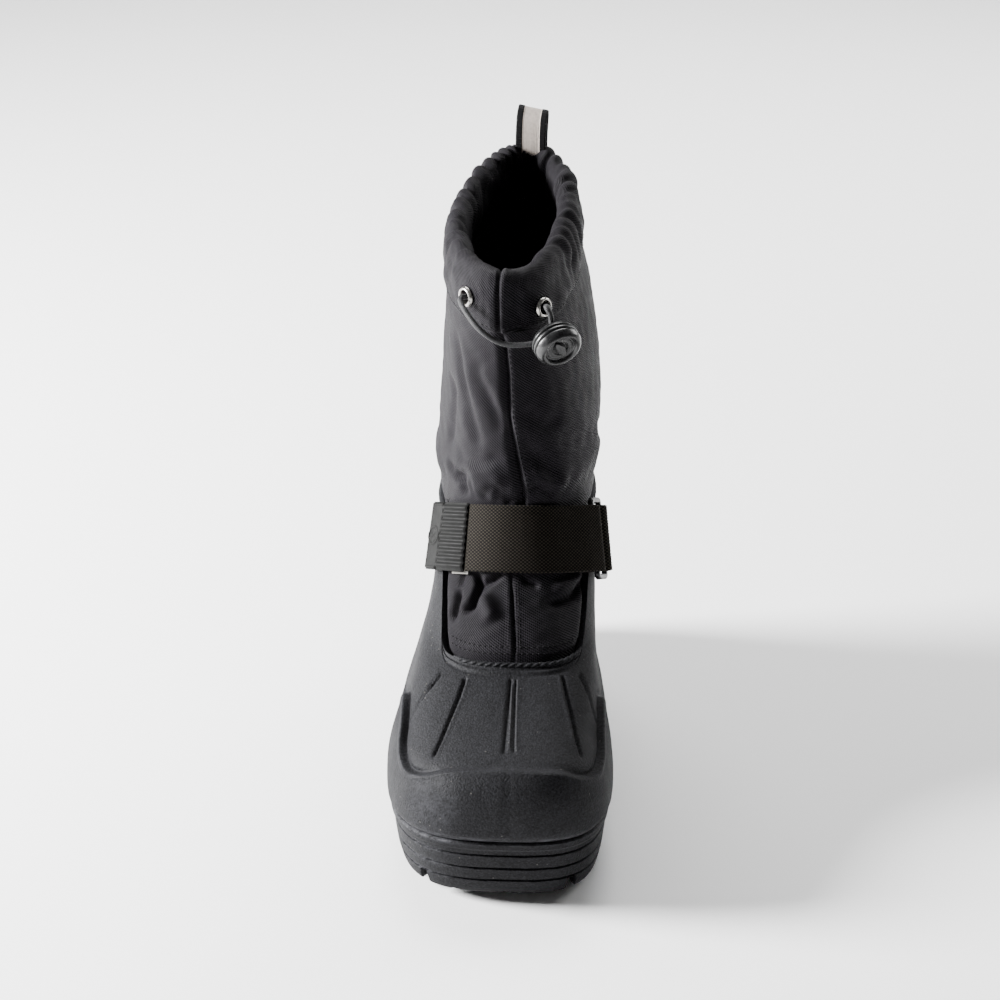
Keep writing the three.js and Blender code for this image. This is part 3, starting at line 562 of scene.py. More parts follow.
# Needled wool and polyester felt: dark grey, fully matt, with a fuzz of fibres that catches light.
felt = bare_material("needled_felt")
felt_place = node(felt, "ShaderNodeTexCoord").outputs["Object"]
felt_fibre = node(felt, "ShaderNodeTexNoise", Vector=felt_place, Scale=1400.0, Detail=3.0)
felt_colour = node(felt, "ShaderNodeMix", {"data_type": "RGBA"}, i0=felt_fibre.outputs[0],
                   i6=linear("#1f1f21"), i7=linear("#3a3a3d"))
felt_bump = node(felt, "ShaderNodeBump", Height=felt_fibre.outputs[0], Strength=0.8,
                 Distance=0.0004)
felt_shader = node(felt, "ShaderNodeBsdfPrincipled", Base_Color=felt_colour.outputs[2],
                   Roughness=0.95, Sheen_Weight=0.3, Sheen_Roughness=0.5,
                   Normal=felt_bump.outputs[0])
node(felt, "ShaderNodeOutputMaterial", Surface=felt_shader.outputs[0])
insole = put_mesh("felt_insole", insole_points, ring_faces(*insole_points.shape[:2], False), felt)
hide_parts("insole")

# ---------------------------------------------------------------------------------------------
# Shaft: black nylon twill over wadding, cut as two panels that meet in a seam down the front,
# its lower edge sewn inside the galosh. Worn cloth, so it keeps folds and puffs at the strap.
# ---------------------------------------------------------------------------------------------
SHAFT_SLICES = dict(
    z=[150, 176, 206, 236, 266, 296],
    toe=[-19, -16, -16, -14, -12, -11],
    heel=[134, 138, 140, 138, 134, 131],
    wide=[52, 58, 60, 60, 60, 60],
    inner=[44, 46, 45.5, 41, 34, 30.5],
    outer=[40, 41, 39, 37, 34.5, 33.5],
    front=[2.3, 2.2, 2.1, 2.1, 2.1, 2.1],
    back=[2.2, 2.2, 2.1, 2.1, 2.05, 2.0],
    waist=[0] * 6,
)
SHAFT_FOOT = dict(turn=[0, 44, 62, 80, 110, 180], z=[77, 78, 89, 114, 130, 140])
SHAFT_TOP = 265.0
TWIST = dict(turn=0.084, start=170.0, end=290.0)
SLANT = dict(rise=0.19, start=150.0, end=265.0, middle=60.0)
WADDING = 5.0   # twill and wadding together
CLOTH_IN = 4.4  # the cloth tucks this far inside the galosh's outer face


def leg_form(turn, height):
    """The shaft's own slices, slewed towards the inner side with height and slanted upwards
    towards the heel."""
    x, y = slice_outline(between_rows(SHAFT_SLICES, "z", height), turn)
    x = x + TWIST["turn"] * (y - SLANT["middle"]) * smooth(TWIST["start"], TWIST["end"], height)
    z = (height + SLANT["rise"] * (y - SLANT["middle"])
         * smooth(SLANT["start"], SLANT["end"], height))
    return np.stack([x, y, z + 0 * x], -1) + MIDDLE


rim_turn = np.linspace(-pi, pi, 241)
rim_line = foot_form(rim_turn, line_height(RIM, rim_turn))


def cloth_form(turn, height):
    """Inside the galosh below, the shaft's own form above, and between them a cloth that fills
    out from the rim: its tuck falls as one minus a bell of the distance to the rim, and is least
    low in the throat, where the cloth puffs up level with the bead."""
    low = foot_form(turn, height)
    free = smooth(-1, 3, height - line_height(RIM, turn))
    by_rim = crease(low, rim_line, 1.0, 2.6, fade=0)
    tuck = CLOTH_IN - (4.2 + 1.7 * smooth(124, 112, height)) * free * (1 - by_rim)
    low = low - outward(foot_form, turn, height) * tuck[..., None]
    return mix(low, leg_form(turn, height), smooth(158, 176, height)[..., None])


cloth_turn = stretches((-pi, -0.42, 134), (-0.42, 0.42, 156), (0.42, pi, 134))
cloth_share = stretches((0, 0.1, 9), (0.1, 0.62, 114), (0.62, 1, 58))
cloth_angle = np.broadcast_to(cloth_turn, (len(cloth_share), len(cloth_turn)))
cloth_height = mix(line_height(SHAFT_FOOT, cloth_turn)[None], SHAFT_TOP, cloth_share[:, None])
cloth_base = cloth_form(cloth_angle, cloth_height)
cloth_out = outward(leg_form, cloth_angle, np.maximum(cloth_height, 150.0))
low_out = outward(foot_form, cloth_angle, cloth_height)
cloth_out = unit(mix(low_out, cloth_out, smooth(150, 176, cloth_height)[..., None]))

# Folds worn into the cloth: turn in degrees and height along each, how deep (below 0) or proud.
SHAFT_FOLDS = [
    dict(turn=[-52, -44, -38, -29, -24], z=[256, 241, 222, 202, 182], deep=-1.7, wide=3.2),
    dict(turn=[-45, -37, -31, -22], z=[254, 240, 220, 200], deep=0.9, wide=4.0),
    dict(turn=[-30, -20, -11, -7], z=[243, 231, 214, 199], deep=-1.4, wide=3.0),
    dict(turn=[-24, -13, -6], z=[243, 232, 220], deep=0.7, wide=3.5),
    dict(turn=[-64, -53, -52, -58], z=[222, 214, 194, 173], deep=-1.4, wide=3.2),
    dict(turn=[-58, -47, -38, -29], z=[172, 165, 168, 177], deep=-1.8, wide=2.5),
    dict(turn=[-50, -30, -17, -6], z=[179, 181, 185, 193], deep=-0.75, wide=3.0),
    dict(turn=[-42, -30, -15, -3], z=[172, 176, 177, 171], deep=1.6, wide=4.2),
    dict(turn=[-50, -40, -36], z=[168, 166, 156], deep=-1.8, wide=2.4),
    dict(turn=[-30, -20, -10], z=[165, 166, 163], deep=1.4, wide=4.0),
    dict(turn=[-22, -14, -8], z=[158, 168, 171], deep=-0.8, wide=2.4),
    dict(turn=[6, 18, 34], z=[223, 208, 208], deep=-1.3, wide=3.0),
    dict(turn=[1, 12, 28], z=[197, 188, 168], deep=-1.6, wide=3.0),
    dict(turn=[5, 18, 36], z=[183, 175, 166], deep=1.6, wide=4.5),
    dict(turn=[-8, 2, 4], z=[159, 163, 170], deep=-1.3, wide=1.8),
    dict(turn=[4, 12, 24], z=[167, 170, 160], deep=-1.4, wide=2.0),
    dict(turn=[-28, -21, -26, -36], z=[127, 120, 111, 106], deep=-2.2, wide=2.2),
    dict(turn=[-21, -12, -5], z=[120, 123, 128], deep=-2.0, wide=1.8),
    dict(turn=[-20, -15, -10], z=[117, 112, 106], deep=1.4, wide=4.0),
    dict(turn=[-37, -40, -42], z=[116, 109, 102], deep=-1.6, wide=2.0),
    dict(turn=[56, 40, 23, 12], z=[117, 113, 113, 114], deep=-2.0, wide=2.4),
    dict(turn=[50, 36, 20], z=[121, 119, 119], deep=1.1, wide=3.0),
    dict(turn=[-36, -38], z=[125, 116], deep=-1.0, wide=1.6),
    dict(turn=[1, 5, 14], z=[128, 123, 120], deep=-1.2, wide=1.7),
    dict(turn=[95, 110, 126, 140], z=[226, 206, 196, 200], deep=-1.5, wide=3.6),
    dict(turn=[70, 84, 98, 108], z=[182, 176, 168, 158], deep=-1.9, wide=3.2),
    dict(turn=[120, 138, 158, 175], z=[176, 170, 174, 170], deep=-1.9, wide=3.4),
    dict(turn=[100, 125, 150], z=[168, 162, 164], deep=1.3, wide=4.5),
    dict(turn=[-84, -98, -114, -128], z=[250, 230, 214, 210], deep=-1.5, wide=3.6),
    dict(turn=[-76, -92, -104], z=[186, 176, 162], deep=-1.9, wide=3.2),
    dict(turn=[-112, -130, -152, -172], z=[180, 172, 176, 170], deep=-1.9, wide=3.4),
    dict(turn=[-96, -120, -150], z=[170, 164, 165], deep=1.3, wide=4.5),
    dict(turn=[150, 164, 176], z=[246, 226, 206], deep=-1.3, wide=3.4),
    dict(turn=[-100, -78, -60], z=[162, 161, 163], deep=1.5, wide=6.5),
    dict(turn=[62, 80, 100], z=[162, 161, 162], deep=0.9, wide=6.5),
]
SEAM = dict(turn=[-5.0, -4.6, -4.0, -1.0, -0.4, -1.8, 0.4, 3.4, 4.0, 2.0, -1.6, -0.4, 0.4],
            z=[278, 272, 266, 257, 242, 216, 189, 169, 158, 140, 126, 112, 96])
folds = np.zeros(cloth_base.shape[:2])
for fold in SHAFT_FOLDS:
    along = np.linspace(0, 1, 4 * len(fold["turn"]))
    stops = np.linspace(0, 1, len(fold["turn"]))
    t, z = np.interp(along, stops, fold["turn"]), np.interp(along, stops, fold["z"])
    line = cloth_form(np.radians(t), z)
    # Above the strap the folds are broad and soft, and below it they are sharper.
    gain, spread = (1.35, 1.3) if z.mean() > 150 else (2.1, 1.0)
    folds += crease(cloth_base, line, gain * fold["deep"], spread * fold["wide"], fade=0.25)
seam_turn, seam_height = np.radians(SEAM["turn"]), np.array(SEAM["z"], float)
seam_line = cloth_form(seam_turn, np.minimum(seam_height, SHAFT_TOP))
above_strap, below_strap = seam_line[:9], seam_line[9:]
folds += crease(cloth_base, above_strap, -2.2, 0.9, fade=0.0)
folds += crease(cloth_base, above_strap - [1.4, 0, 0], -1.2, 2.0, fade=0.0)
folds += crease(cloth_base, above_strap + [2.8, 0, 0], 0.8, 2.4, fade=0.0)
folds += crease(cloth_base, above_strap - [5.4, 0, 0], 0.5, 2.8, fade=0.0)
folds += crease(cloth_base, below_strap, -1.5, 0.7, fade=0.0)
folds += crease(cloth_base, below_strap - [2.4, 0, 0], 0.4, 1.6, fade=0.0)
# Folds start at the rim. The strap holds the cloth flat where it crosses, and above it the cloth
# puffs out.
visible = smooth(-1, 4, cloth_height - line_height(RIM, cloth_turn)[None])
held = np.exp(-(((cloth_height - 141) / 17) ** 6)) * smooth(2.0, 1.5, np.abs(cloth_angle))
folds += 1.5 * bell(cloth_height - 168, 8) * (1 - 0.4 * smooth(0.8, 1.4, np.abs(cloth_angle)))
folds += 0.5 * ripple(cloth_base, 7, 24.0) + 0.16 * ripple(cloth_base, 8, 7.0)
folds *= visible * (1 - 0.75 * held)
folds *= 1 - smooth(SHAFT_TOP - 6, SHAFT_TOP, cloth_height) * 0.6
cloth_skin = cloth_base + cloth_out * folds[..., None]
cloth_back = (cloth_base - cloth_out * WADDING)[::5]
cloth_arc = run_along(leg_form(cloth_turn, 220 + 0 * cloth_turn))
cloth_arc -= np.interp(0.0, cloth_turn, cloth_arc)


def walled(skin, back):
    """A thin wall: the rows of one face up, then those of the other down, joined both ways. The
    grid's last column lies on its first, so it is left out of the points."""
    return np.concatenate([skin, back[::-1]])[:, :-1]


def nylon_twill(name, dark, light, pitch_mm, across):
    """Black nylon twill, calendered and coated: fine diagonal wales with a low sheen, with painted
    light on their ridges, painted shade between them and a fleck of lint. The wales are about half
    a millimetre apart, drawn coarser so that they show."""
    m = bare_material(name)
    uv = node(m, "ShaderNodeUVMap").outputs[0]
    place = node(m, "ShaderNodeTexCoord").outputs["Object"]
    slow = node(m, "ShaderNodeTexNoise", Vector=place, Scale=60.0, Detail=4.0, Roughness=0.6)
    lean = node(m, "ShaderNodeVectorMath", {"operation": "DOT_PRODUCT"}, i0=uv,
                i1=(across * tau / pitch_mm * 0.62, tau / pitch_mm * 0.78, 0.0))
    wobble = node(m, "ShaderNodeMath", {"operation": "MULTIPLY_ADD"}, i0=slow.outputs[0], i1=3.0,
                  i2=lean.outputs["Value"])
    wale = node(m, "ShaderNodeMath", {"operation": "SINE"}, i0=wobble.outputs[0])
    weft = node(m, "ShaderNodeVectorMath", {"operation": "DOT_PRODUCT"}, i0=uv,
                i1=(tau / 0.9, 0.0, 0.0))
    pick = node(m, "ShaderNodeMath", {"operation": "SINE"}, i0=weft.outputs["Value"])
    weave = node(m, "ShaderNodeMath", {"operation": "MULTIPLY_ADD"}, i0=pick.outputs[0], i1=0.25,
                 i2=wale.outputs[0])
    dust = node(m, "ShaderNodeTexNoise", Vector=place, Scale=900.0, Detail=3.0, Roughness=0.7)
    # Painted light and shade: the colour follows the wales' relief, lighter on the ridges and
    # darker in the hollows between them.
    share = node(m, "ShaderNodeMapRange", Value=weave.outputs[0], i1=-1.1, i2=1.1, i3=0.0, i4=1.0)
    cloth = node(m, "ShaderNodeMix", {"data_type": "RGBA"}, i0=share.outputs[0], i6=linear(dark),
                 i7=linear(light))
    lint = node(m, "ShaderNodeMapRange", Value=dust.outputs[0], i1=0.66, i2=0.8, i3=0.0, i4=0.35)
    colour = node(m, "ShaderNodeMix", {"data_type": "RGBA"}, i0=lint.outputs[0],
                  i6=cloth.outputs[2], i7=linear("#48464a"))
    raised = node(m, "ShaderNodeBump", Height=weave.outputs[0], Strength=0.7, Distance=0.0002)
    shader = node(m, "ShaderNodeBsdfPrincipled", Base_Color=colour.outputs[2], Roughness=0.62,
                  IOR=1.53, Specular_IOR_Level=0.08, Sheen_Weight=0.02, Sheen_Roughness=0.4,
                  Normal=raised.outputs[0])
    node(m, "ShaderNodeOutputMaterial", Surface=shader.outputs[0])
    return m


shaft_nylon = nylon_twill("nylon_twill_shaft", "#040405", "#1b181d", 1.15, 1.0)
cloth_points = walled(cloth_skin, cloth_back)
cloth_u = np.broadcast_to(cloth_arc, (len(cloth_points), len(cloth_arc)))
down = np.cumsum(np.linalg.norm(np.diff(cloth_base[::-1], axis=0), axis=-1), axis=0)[::-1]
cloth_v = SHAFT_TOP - np.concatenate([down, np.zeros((1, down.shape[1]))])
cloth_v = np.concatenate([cloth_v, cloth_v[::5][::-1]])
shaft_cloth = put_mesh("shaft_cloth", cloth_points,
                       ring_faces(len(cloth_points), cloth_points.shape[1], True),
                       shaft_nylon, uv=ring_uv(cloth_u, cloth_v, True))
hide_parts("shaft")

# ---------------------------------------------------------------------------------------------
# Lining: a deep black pile on a knitted back, quilted behind the nylon all the way down inside.
# ---------------------------------------------------------------------------------------------
pile_share = np.linspace(0, 1, 111)
pile_turn = np.linspace(-pi, pi, 241)
pile_angle = np.broadcast_to(pile_turn, (len(pile_share), len(pile_turn)))
pile_height = mix(line_height(SHAFT_FOOT, pile_turn)[None], SHAFT_TOP, pile_share[:, None])
pile_base = cloth_form(pile_angle, pile_height)
pile_out = unit(mix(outward(foot_form, pile_angle, pile_height),
                    outward(leg_form, pile_angle, np.maximum(pile_height, 150.0)),
                    smooth(150, 176, pile_height)[..., None]))
pile_tufts = np.minimum(0.45 * ripple(pile_base, 31, 3.4, 22) + 0.5 * ripple(pile_base, 32, 8.0),
                        0.6)
pile_inner = pile_base - pile_out * (6.0 - pile_tufts[..., None])
pile_outer = (pile_base - pile_out * (WADDING + 0.1))[::5]
# Polyester pile: near black, matt, with soft curls that only show where light falls in.
fleece = bare_material("polyester_pile")
fleece_place = node(fleece, "ShaderNodeTexCoord").outputs["Object"]
fleece_curl = node(fleece, "ShaderNodeTexNoise", Vector=fleece_place, Scale=520.0, Detail=4.0,
                   Roughness=0.65)
fleece_colour = node(fleece, "ShaderNodeMix", {"data_type": "RGBA"}, i0=fleece_curl.outputs[0],
                     i6=linear("#020202"), i7=linear("#0b0a0b"))
fleece_bump = node(fleece, "ShaderNodeBump", Height=fleece_curl.outputs[0], Strength=1.0,
                   Distance=0.0012)
fleece_shader = node(fleece, "ShaderNodeBsdfPrincipled", Base_Color=fleece_colour.outputs[2],
                     Roughness=0.95, Specular_IOR_Level=0.1, Sheen_Weight=0.05,
                     Sheen_Roughness=0.6, Normal=fleece_bump.outputs[0])
node(fleece, "ShaderNodeOutputMaterial", Surface=fleece_shader.outputs[0])
pile_points = walled(pile_inner, pile_outer)
put_mesh("pile_lining", pile_points, ring_faces(len(pile_points), len(pile_turn) - 1, True),
         fleece)

# ---------------------------------------------------------------------------------------------
# Collar casing: a channel of the same nylon, doubled over and sewn to the top of the shaft. The
# drawcord runs in it and gathers it into short folds, tightest at the back under the pull loop.
# ---------------------------------------------------------------------------------------------
# Its section: how far out from the shaft's face, and how high above the shaft's top.
CASING_SECTION = [(0.6, 0), (1.8, 5), (2.2, 13), (1.6, 22), (-0.8, 28), (-4.5, 30), (-8.4, 28),
                  (-10.6, 22), (-10.2, 10), (-7.4, 0)]
CASING_FOOT = SHAFT_TOP + 0.3
EYELET_SEATS = dict(outer=dict(side=-1, x=22.5, up=13.5), inner=dict(side=1, x=15.5, up=9.0))


def casing_form(turn, out, up):
    """The shaft's form carried on up, moved out along its level normal."""
    flat = outward(leg_form, turn, SHAFT_TOP + up) * [1.0, 1.0, 0.0]
    return leg_form(turn, CASING_FOOT + up) + unit(flat) * np.asarray(out)[..., None]


def closed_curve(stops, count):
    """A closed smooth line through the stops: Catmull-Rom pieces, cut into even shares."""
    stops = np.asarray(stops, float)
    place = np.arange(count) / count * len(stops)
    i, t = place.astype(int), (place % 1)[:, None]
    a, b, c, d = (stops[(i + k) % len(stops)] for k in (-1, 0, 1, 2))
    return (0.5 * (2 * b + (c - a) * t + (2 * a - 5 * b + 4 * c - d) * t**2
                   + (3 * b - a - 3 * c + d) * t**3))


SECTION_POINTS = 74
section = closed_curve(CASING_SECTION, SECTION_POINTS)
casing_turn = stretches((-pi, -0.5, 262), (-0.5, 0.5, 140), (0.5, pi, 262))
angle, out_by = np.meshgrid(casing_turn, section[:, 0])
_, up_by = np.meshgrid(casing_turn, section[:, 1])
casing_base = casing_form(angle, out_by, up_by)
casing_out = unit(np.cross(np.gradient(casing_base, axis=1),
                           np.roll(casing_base, -1, axis=0) - np.roll(casing_base, 1, axis=0)))
outside, inside = SECTION_POINTS // 4, 3 * SECTION_POINTS // 4
casing_out *= np.sign(np.sum(casing_out[outside, 0]
                             * (casing_base[outside, 0] - casing_base[inside, 0])))
# Round the section: 0 at the outer foot, about 0.45 at the crest and 0.9 at the inner foot.
section_place = (np.arange(SECTION_POINTS) / SECTION_POINTS)[:, None]
casing_run = run_along(casing_base[outside])
casing_run -= np.interp(0.0, casing_turn, casing_run)
gathers = np.zeros(casing_base.shape[:2])
draw = np.random.default_rng(12)
half_round = casing_run[-1]
place = -half_round
while place < half_round:
    tight = smooth(0.84, 0.95, abs(place) / half_round)
    calm = smooth(52, 38, abs(place))
    lean = draw.uniform(12, 24) * (1 if place < 0 else -1) * (1 - 0.85 * tight)
    wide = mix(draw.uniform(1.8, 3.6), 1.1, tight)
    deep = draw.uniform(1.0, 2.6) * (1 - 0.92 * calm)
    start, end = draw.uniform(0.04, 0.24), draw.uniform(0.58, 0.86)
    window = smooth(start, start + 0.14, section_place) * smooth(end, end - 0.16, section_place)
    gap = casing_run[None] - place - lean * (section_place - 0.4)
    gathers += window * (-deep * bell(gap, wide) + 0.4 * deep * bell(gap - 5.5, 4.0))
    place += mix(draw.uniform(8.0, 14.5), draw.uniform(3.6, 5.0), tight)
gathers += 0.7 * ripple(casing_base, 15, 13.0) + 0.2 * ripple(casing_base, 16, 5.0)
# The cord inside fills the crest; a row of stitches pulls the foot in; the seam runs up the front.
gathers += 0.6 * bell(section_place - 0.42, 0.1)
gathers -= 0.9 * bell(section_place - 0.035, 0.02)
seam_up = np.array([0, 5, 13, 22, 28, 30, 28], float)
seam_out = np.array([0.6, 1.8, 2.2, 1.6, -0.8, -4.5, -8.4])
front_seam = casing_form(np.radians(np.full(7, -5.2)), seam_out, seam_up)
gathers += crease(casing_base, front_seam, -2.0, 0.9, fade=0.0)
gathers += crease(casing_base, front_seam + [2.6, 0, 0], 0.7, 2.2, fade=0.0)
gathers += crease(casing_base, front_seam - [7.5, 0, 0], -1.1, 2.2, fade=0.3)
gathers += crease(casing_base, front_seam + [9.5, 0, 0], -1.0, 2.6, fade=0.3)


def eyelet_seat(side, x, up):
    """Where an eyelet sits: the turn at which the casing is x from the middle line, found by
    halving, as a point with two level axes across it and its normal."""
    low, high = 0.0, 1.4
    for _ in range(40):
        mid = (low + high) / 2
        near = side * (casing_form(np.array(side * mid), 2.2, up)[0] - MIDDLE[0]) < x
        low, high = (mid, high) if near else (low, mid)
    turn = np.array(side * low)
    normal = outward(leg_form, turn, SHAFT_TOP + up)
    right = unit(np.cross([0, 0, 1.0], normal))
    return casing_form(turn, 2.2, up), right, np.cross(normal, right), normal


seats = {name: eyelet_seat(**place) for name, place in EYELET_SEATS.items()}
for point, right, above_it, normal in seats.values():
    away = casing_base - point
    radial = np.linalg.norm(away - (away @ normal)[..., None] * normal, axis=-1)
    facing = (np.abs(away @ normal) < 5) & (radial < 16)
    gathers = np.where(facing, gathers * smooth(5.5, 14, radial), gathers)
    gathers += np.where(facing, -3.6 * smooth(3.9, 3.0, radial) + 0.3 * bell(radial - 6.9, 1.2), 0)
casing_skin = casing_base + casing_out * gathers[..., None]
casing_nylon = nylon_twill("nylon_twill_casing", "#040405", "#1a171c", 1.15, 1.0)
casing_u = np.broadcast_to(casing_run, casing_base.shape[:2])
casing_v = np.broadcast_to(section_place * 84.0, casing_base.shape[:2])
casing = put_mesh("collar_casing_cloth", casing_skin[:, :-1],
                  ring_faces(SECTION_POINTS, len(casing_turn) - 1, True), casing_nylon,
                  uv=ring_uv(casing_u, casing_v, True), sharp=80)
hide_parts("collar_casing")

# ---------------------------------------------------------------------------------------------
# Eyelets: two nickel-plated steel rings, pressed through the casing's front and rolled over
# behind it. The drawcord comes out through them.
# ---------------------------------------------------------------------------------------------
# Half section, as radius and height above the seat: up the barrel, round the flange and back.
EYELET_SECTION = [(3.4, -3.4), (3.4, -0.5), (3.45, 0.9), (3.6, 1.75), (4.0, 2.2), (4.45, 2.15),
                  (4.9, 1.7), (5.2, 1.1), (5.3, 0.7), (5.0, 0.5), (4.4, 0.6), (4.0, 0.3),
                  (3.75, -0.4), (3.75, -3.4)]


def on_seat(seat, line, way):
    """A lathe on a seat: each radius swung round the cross axes, at its height up the normal."""
    point, right, above_it, normal = seat
    spoke = np.cos(way)[None, :, None] * right + np.sin(way)[None, :, None] * above_it
    return point + line[:, None, :1] * spoke + line[:, None, 1:] * normal


# Nickel plate on steel: bright grey and smooth, with faint handling marks that break the shine.
nickel = bare_material("nickel_plated_steel")
nickel_place = node(nickel, "ShaderNodeTexCoord").outputs["Object"]
nickel_marks = node(nickel, "ShaderNodeTexNoise", Vector=nickel_place, Scale=700.0, Detail=3.0)
nickel_rough = node(nickel, "ShaderNodeMapRange", Value=nickel_marks.outputs[0], i1=0.3, i2=0.7,
                    i3=0.22, i4=0.4)
nickel_shader = node(nickel, "ShaderNodeBsdfPrincipled", Base_Color=linear("#b9b6b1"), Metallic=1.0,
                     Roughness=nickel_rough.outputs[0])
node(nickel, "ShaderNodeOutputMaterial", Surface=nickel_shader.outputs[0])
EYELET_STEPS = 56
eyelet_line = closed_curve(EYELET_SECTION, EYELET_STEPS)
eyelet_way = np.arange(EYELET_STEPS) / EYELET_STEPS * tau
for name, seat in seats.items():
    eyelet = put_mesh(f"eyelet_{name}_ring", on_seat(seat, eyelet_line, eyelet_way),
                      ring_faces(EYELET_STEPS, EYELET_STEPS, True), nickel,
                      sharp=60)
    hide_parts(f"eyelet_{name}")

# ---------------------------------------------------------------------------------------------
# Cord lock: a spring lock in black acetal, squeezed to slide on the cord. A domed back, a ribbed
# rim to grip and a sunk oval face with a plain raised leaf on it.
# ---------------------------------------------------------------------------------------------
LOCK_CENTRE = np.array([22.5, -21.5, 250.0]) + MIDDLE
LOCK_OVAL = 0.08  # how much less the lock measures up its face than across it
lock_normal = unit(np.array([0.45, -0.80, -0.38]))
lock_right = unit(np.cross([0, 0, 1.0], lock_normal))
lock_seat = (LOCK_CENTRE, lock_right, np.cross(lock_normal, lock_right), lock_normal)
# Half section, as radius and height: up the domed back, over the ribs and into the sunk face.
LOCK_SECTION = [(0.0, -7.0), (3, -6.95), (6, -6.6), (8.4, -5.8), (10.1, -4.5), (11.2, -2.9),
                (11.7, -1.9), (11.75, -1.4), (10.9, -1.0), (10.8, -0.5), (11.7, -0.1),
                (11.8, 0.6), (11.7, 1.3), (10.9, 1.7), (10.8, 2.1), (11.7, 2.5), (11.7, 3.2),
                (11.4, 4.3), (10.8, 5.6), (10.1, 6.5), (9.4, 6.9), (8.7, 6.8), (8.0, 6.2),
                (7.6, 5.2), (6.9, 4.9), (5.0, 5.1), (2.5, 5.4), (0.0, 5.5)]
stops = np.array(LOCK_SECTION)
stops_run = run_along(stops)
LOCK_ROWS, LOCK_COLUMNS = 150, 140
lock_stop = np.linspace(0, stops_run[-1], LOCK_ROWS)
lock_line = np.column_stack([np.interp(lock_stop, stops_run, column) for column in stops.T])
lock_line[1:-1] = (lock_line[:-2] + 2 * lock_line[1:-1] + lock_line[2:]) / 4
lock_line[0, 0] = lock_line[-1, 0] = 0.02
lock_line[:, 0] *= 1.05
lock_way = np.arange(LOCK_COLUMNS) / LOCK_COLUMNS * tau
lock_points = on_seat(lock_seat, lock_line, lock_way)
# The whole lock is slightly oval. The leaf lies in the sunk face.
off = lock_points - LOCK_CENTRE
face_x, face_y = off @ lock_seat[1], off @ lock_seat[2]
lock_points -= (face_y * LOCK_OVAL)[..., None] * lock_seat[2]
in_face = smooth(7.4, 6.6, np.hypot(face_x, face_y)) * (off @ lock_normal > 3)
lean_x, lean_y = face_x * 0.82 + face_y * 0.57, face_y * 0.82 - face_x * 0.57
leaf = np.abs(lean_x) / (2.5 * np.clip(1 - (lean_y / 6.2) ** 2, 0.02, 1))
leaf_relief = 1.1 * smooth(1.2, 0.7, leaf) - 0.9 * smooth(1.9, 1.35, leaf) * smooth(1.0, 1.3, leaf)
outer_ring = 0.35 * bell(np.hypot(face_x, face_y) - 6.9, 0.3)
lock_points += (in_face * (leaf_relief + outer_ring))[..., None] * lock_normal
# Acetal, injection moulded: hard, waxy black, with a soft shine and rubbed edges.
acetal = bare_material("moulded_acetal")
acetal_place = node(acetal, "ShaderNodeTexCoord").outputs["Object"]
acetal_rub = node(acetal, "ShaderNodeTexNoise", Vector=acetal_place, Scale=420.0, Detail=4.0,
                  Roughness=0.7)
acetal_rough = node(acetal, "ShaderNodeMapRange", Value=acetal_rub.outputs[0], i1=0.3, i2=0.7,
                    i3=0.22, i4=0.42)
acetal_colour = node(acetal, "ShaderNodeMix", {"data_type": "RGBA"}, i0=acetal_rub.outputs[0],
                     i6=linear("#0d0d0e"), i7=linear("#19191a"))
acetal_bump = node(acetal, "ShaderNodeBump", Height=acetal_rub.outputs[0], Strength=0.15,
                   Distance=0.0002)
acetal_shader = node(acetal, "ShaderNodeBsdfPrincipled", Base_Color=acetal_colour.outputs[2],
                     IOR=1.48, Roughness=acetal_rough.outputs[0],
                     Normal=acetal_bump.outputs[0])
node(acetal, "ShaderNodeOutputMaterial", Surface=acetal_shader.outputs[0])
lock = put_mesh("cord_lock_body", lock_points, ring_faces(LOCK_ROWS, LOCK_COLUMNS, False), acetal,
                sharp=50,
                caps=[list(range(LOCK_COLUMNS))[::-1],
                      list(range((LOCK_ROWS - 1) * LOCK_COLUMNS, LOCK_ROWS * LOCK_COLUMNS))])
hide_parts("cord_lock")

# ---------------------------------------------------------------------------------------------
# Drawcord: one braided elastic cord, 2.8 mm thick. It shows from the outer eyelet down to the
# lock, through it and up to the inner eyelet; the rest runs inside the casing.
# ---------------------------------------------------------------------------------------------
CORD_THICK = 2.8
OUTER_ROUTE = [(-16, -20, 256), (-4, -22, 249), (8.8, -22.5, 249)]
IN_LOCK = [(16.5, -21.8, 251.2)]
INNER_ROUTE = [(20.0, -20.6, 257.6), (19.5, -20, 264.5), (17.5, -19.5, 267.5)]


def out_of(seat, far):
    """A point straight out of an eyelet."""
    return seat[0] + seat[3] * far


cord_stops = np.array(
    [out_of(seats["outer"], far) for far in (-1.5, 1.5, 4.5)]
    + [np.array(p) + MIDDLE for p in OUTER_ROUTE + IN_LOCK + INNER_ROUTE]
    + [out_of(seats["inner"], far) for far in (4.5, 1.5, -1.5)]
)


def at_places(places, run, values):
    """Each column of the values, read at places along a run."""
    return np.stack([np.interp(places, run, column) for column in values.T], -1)


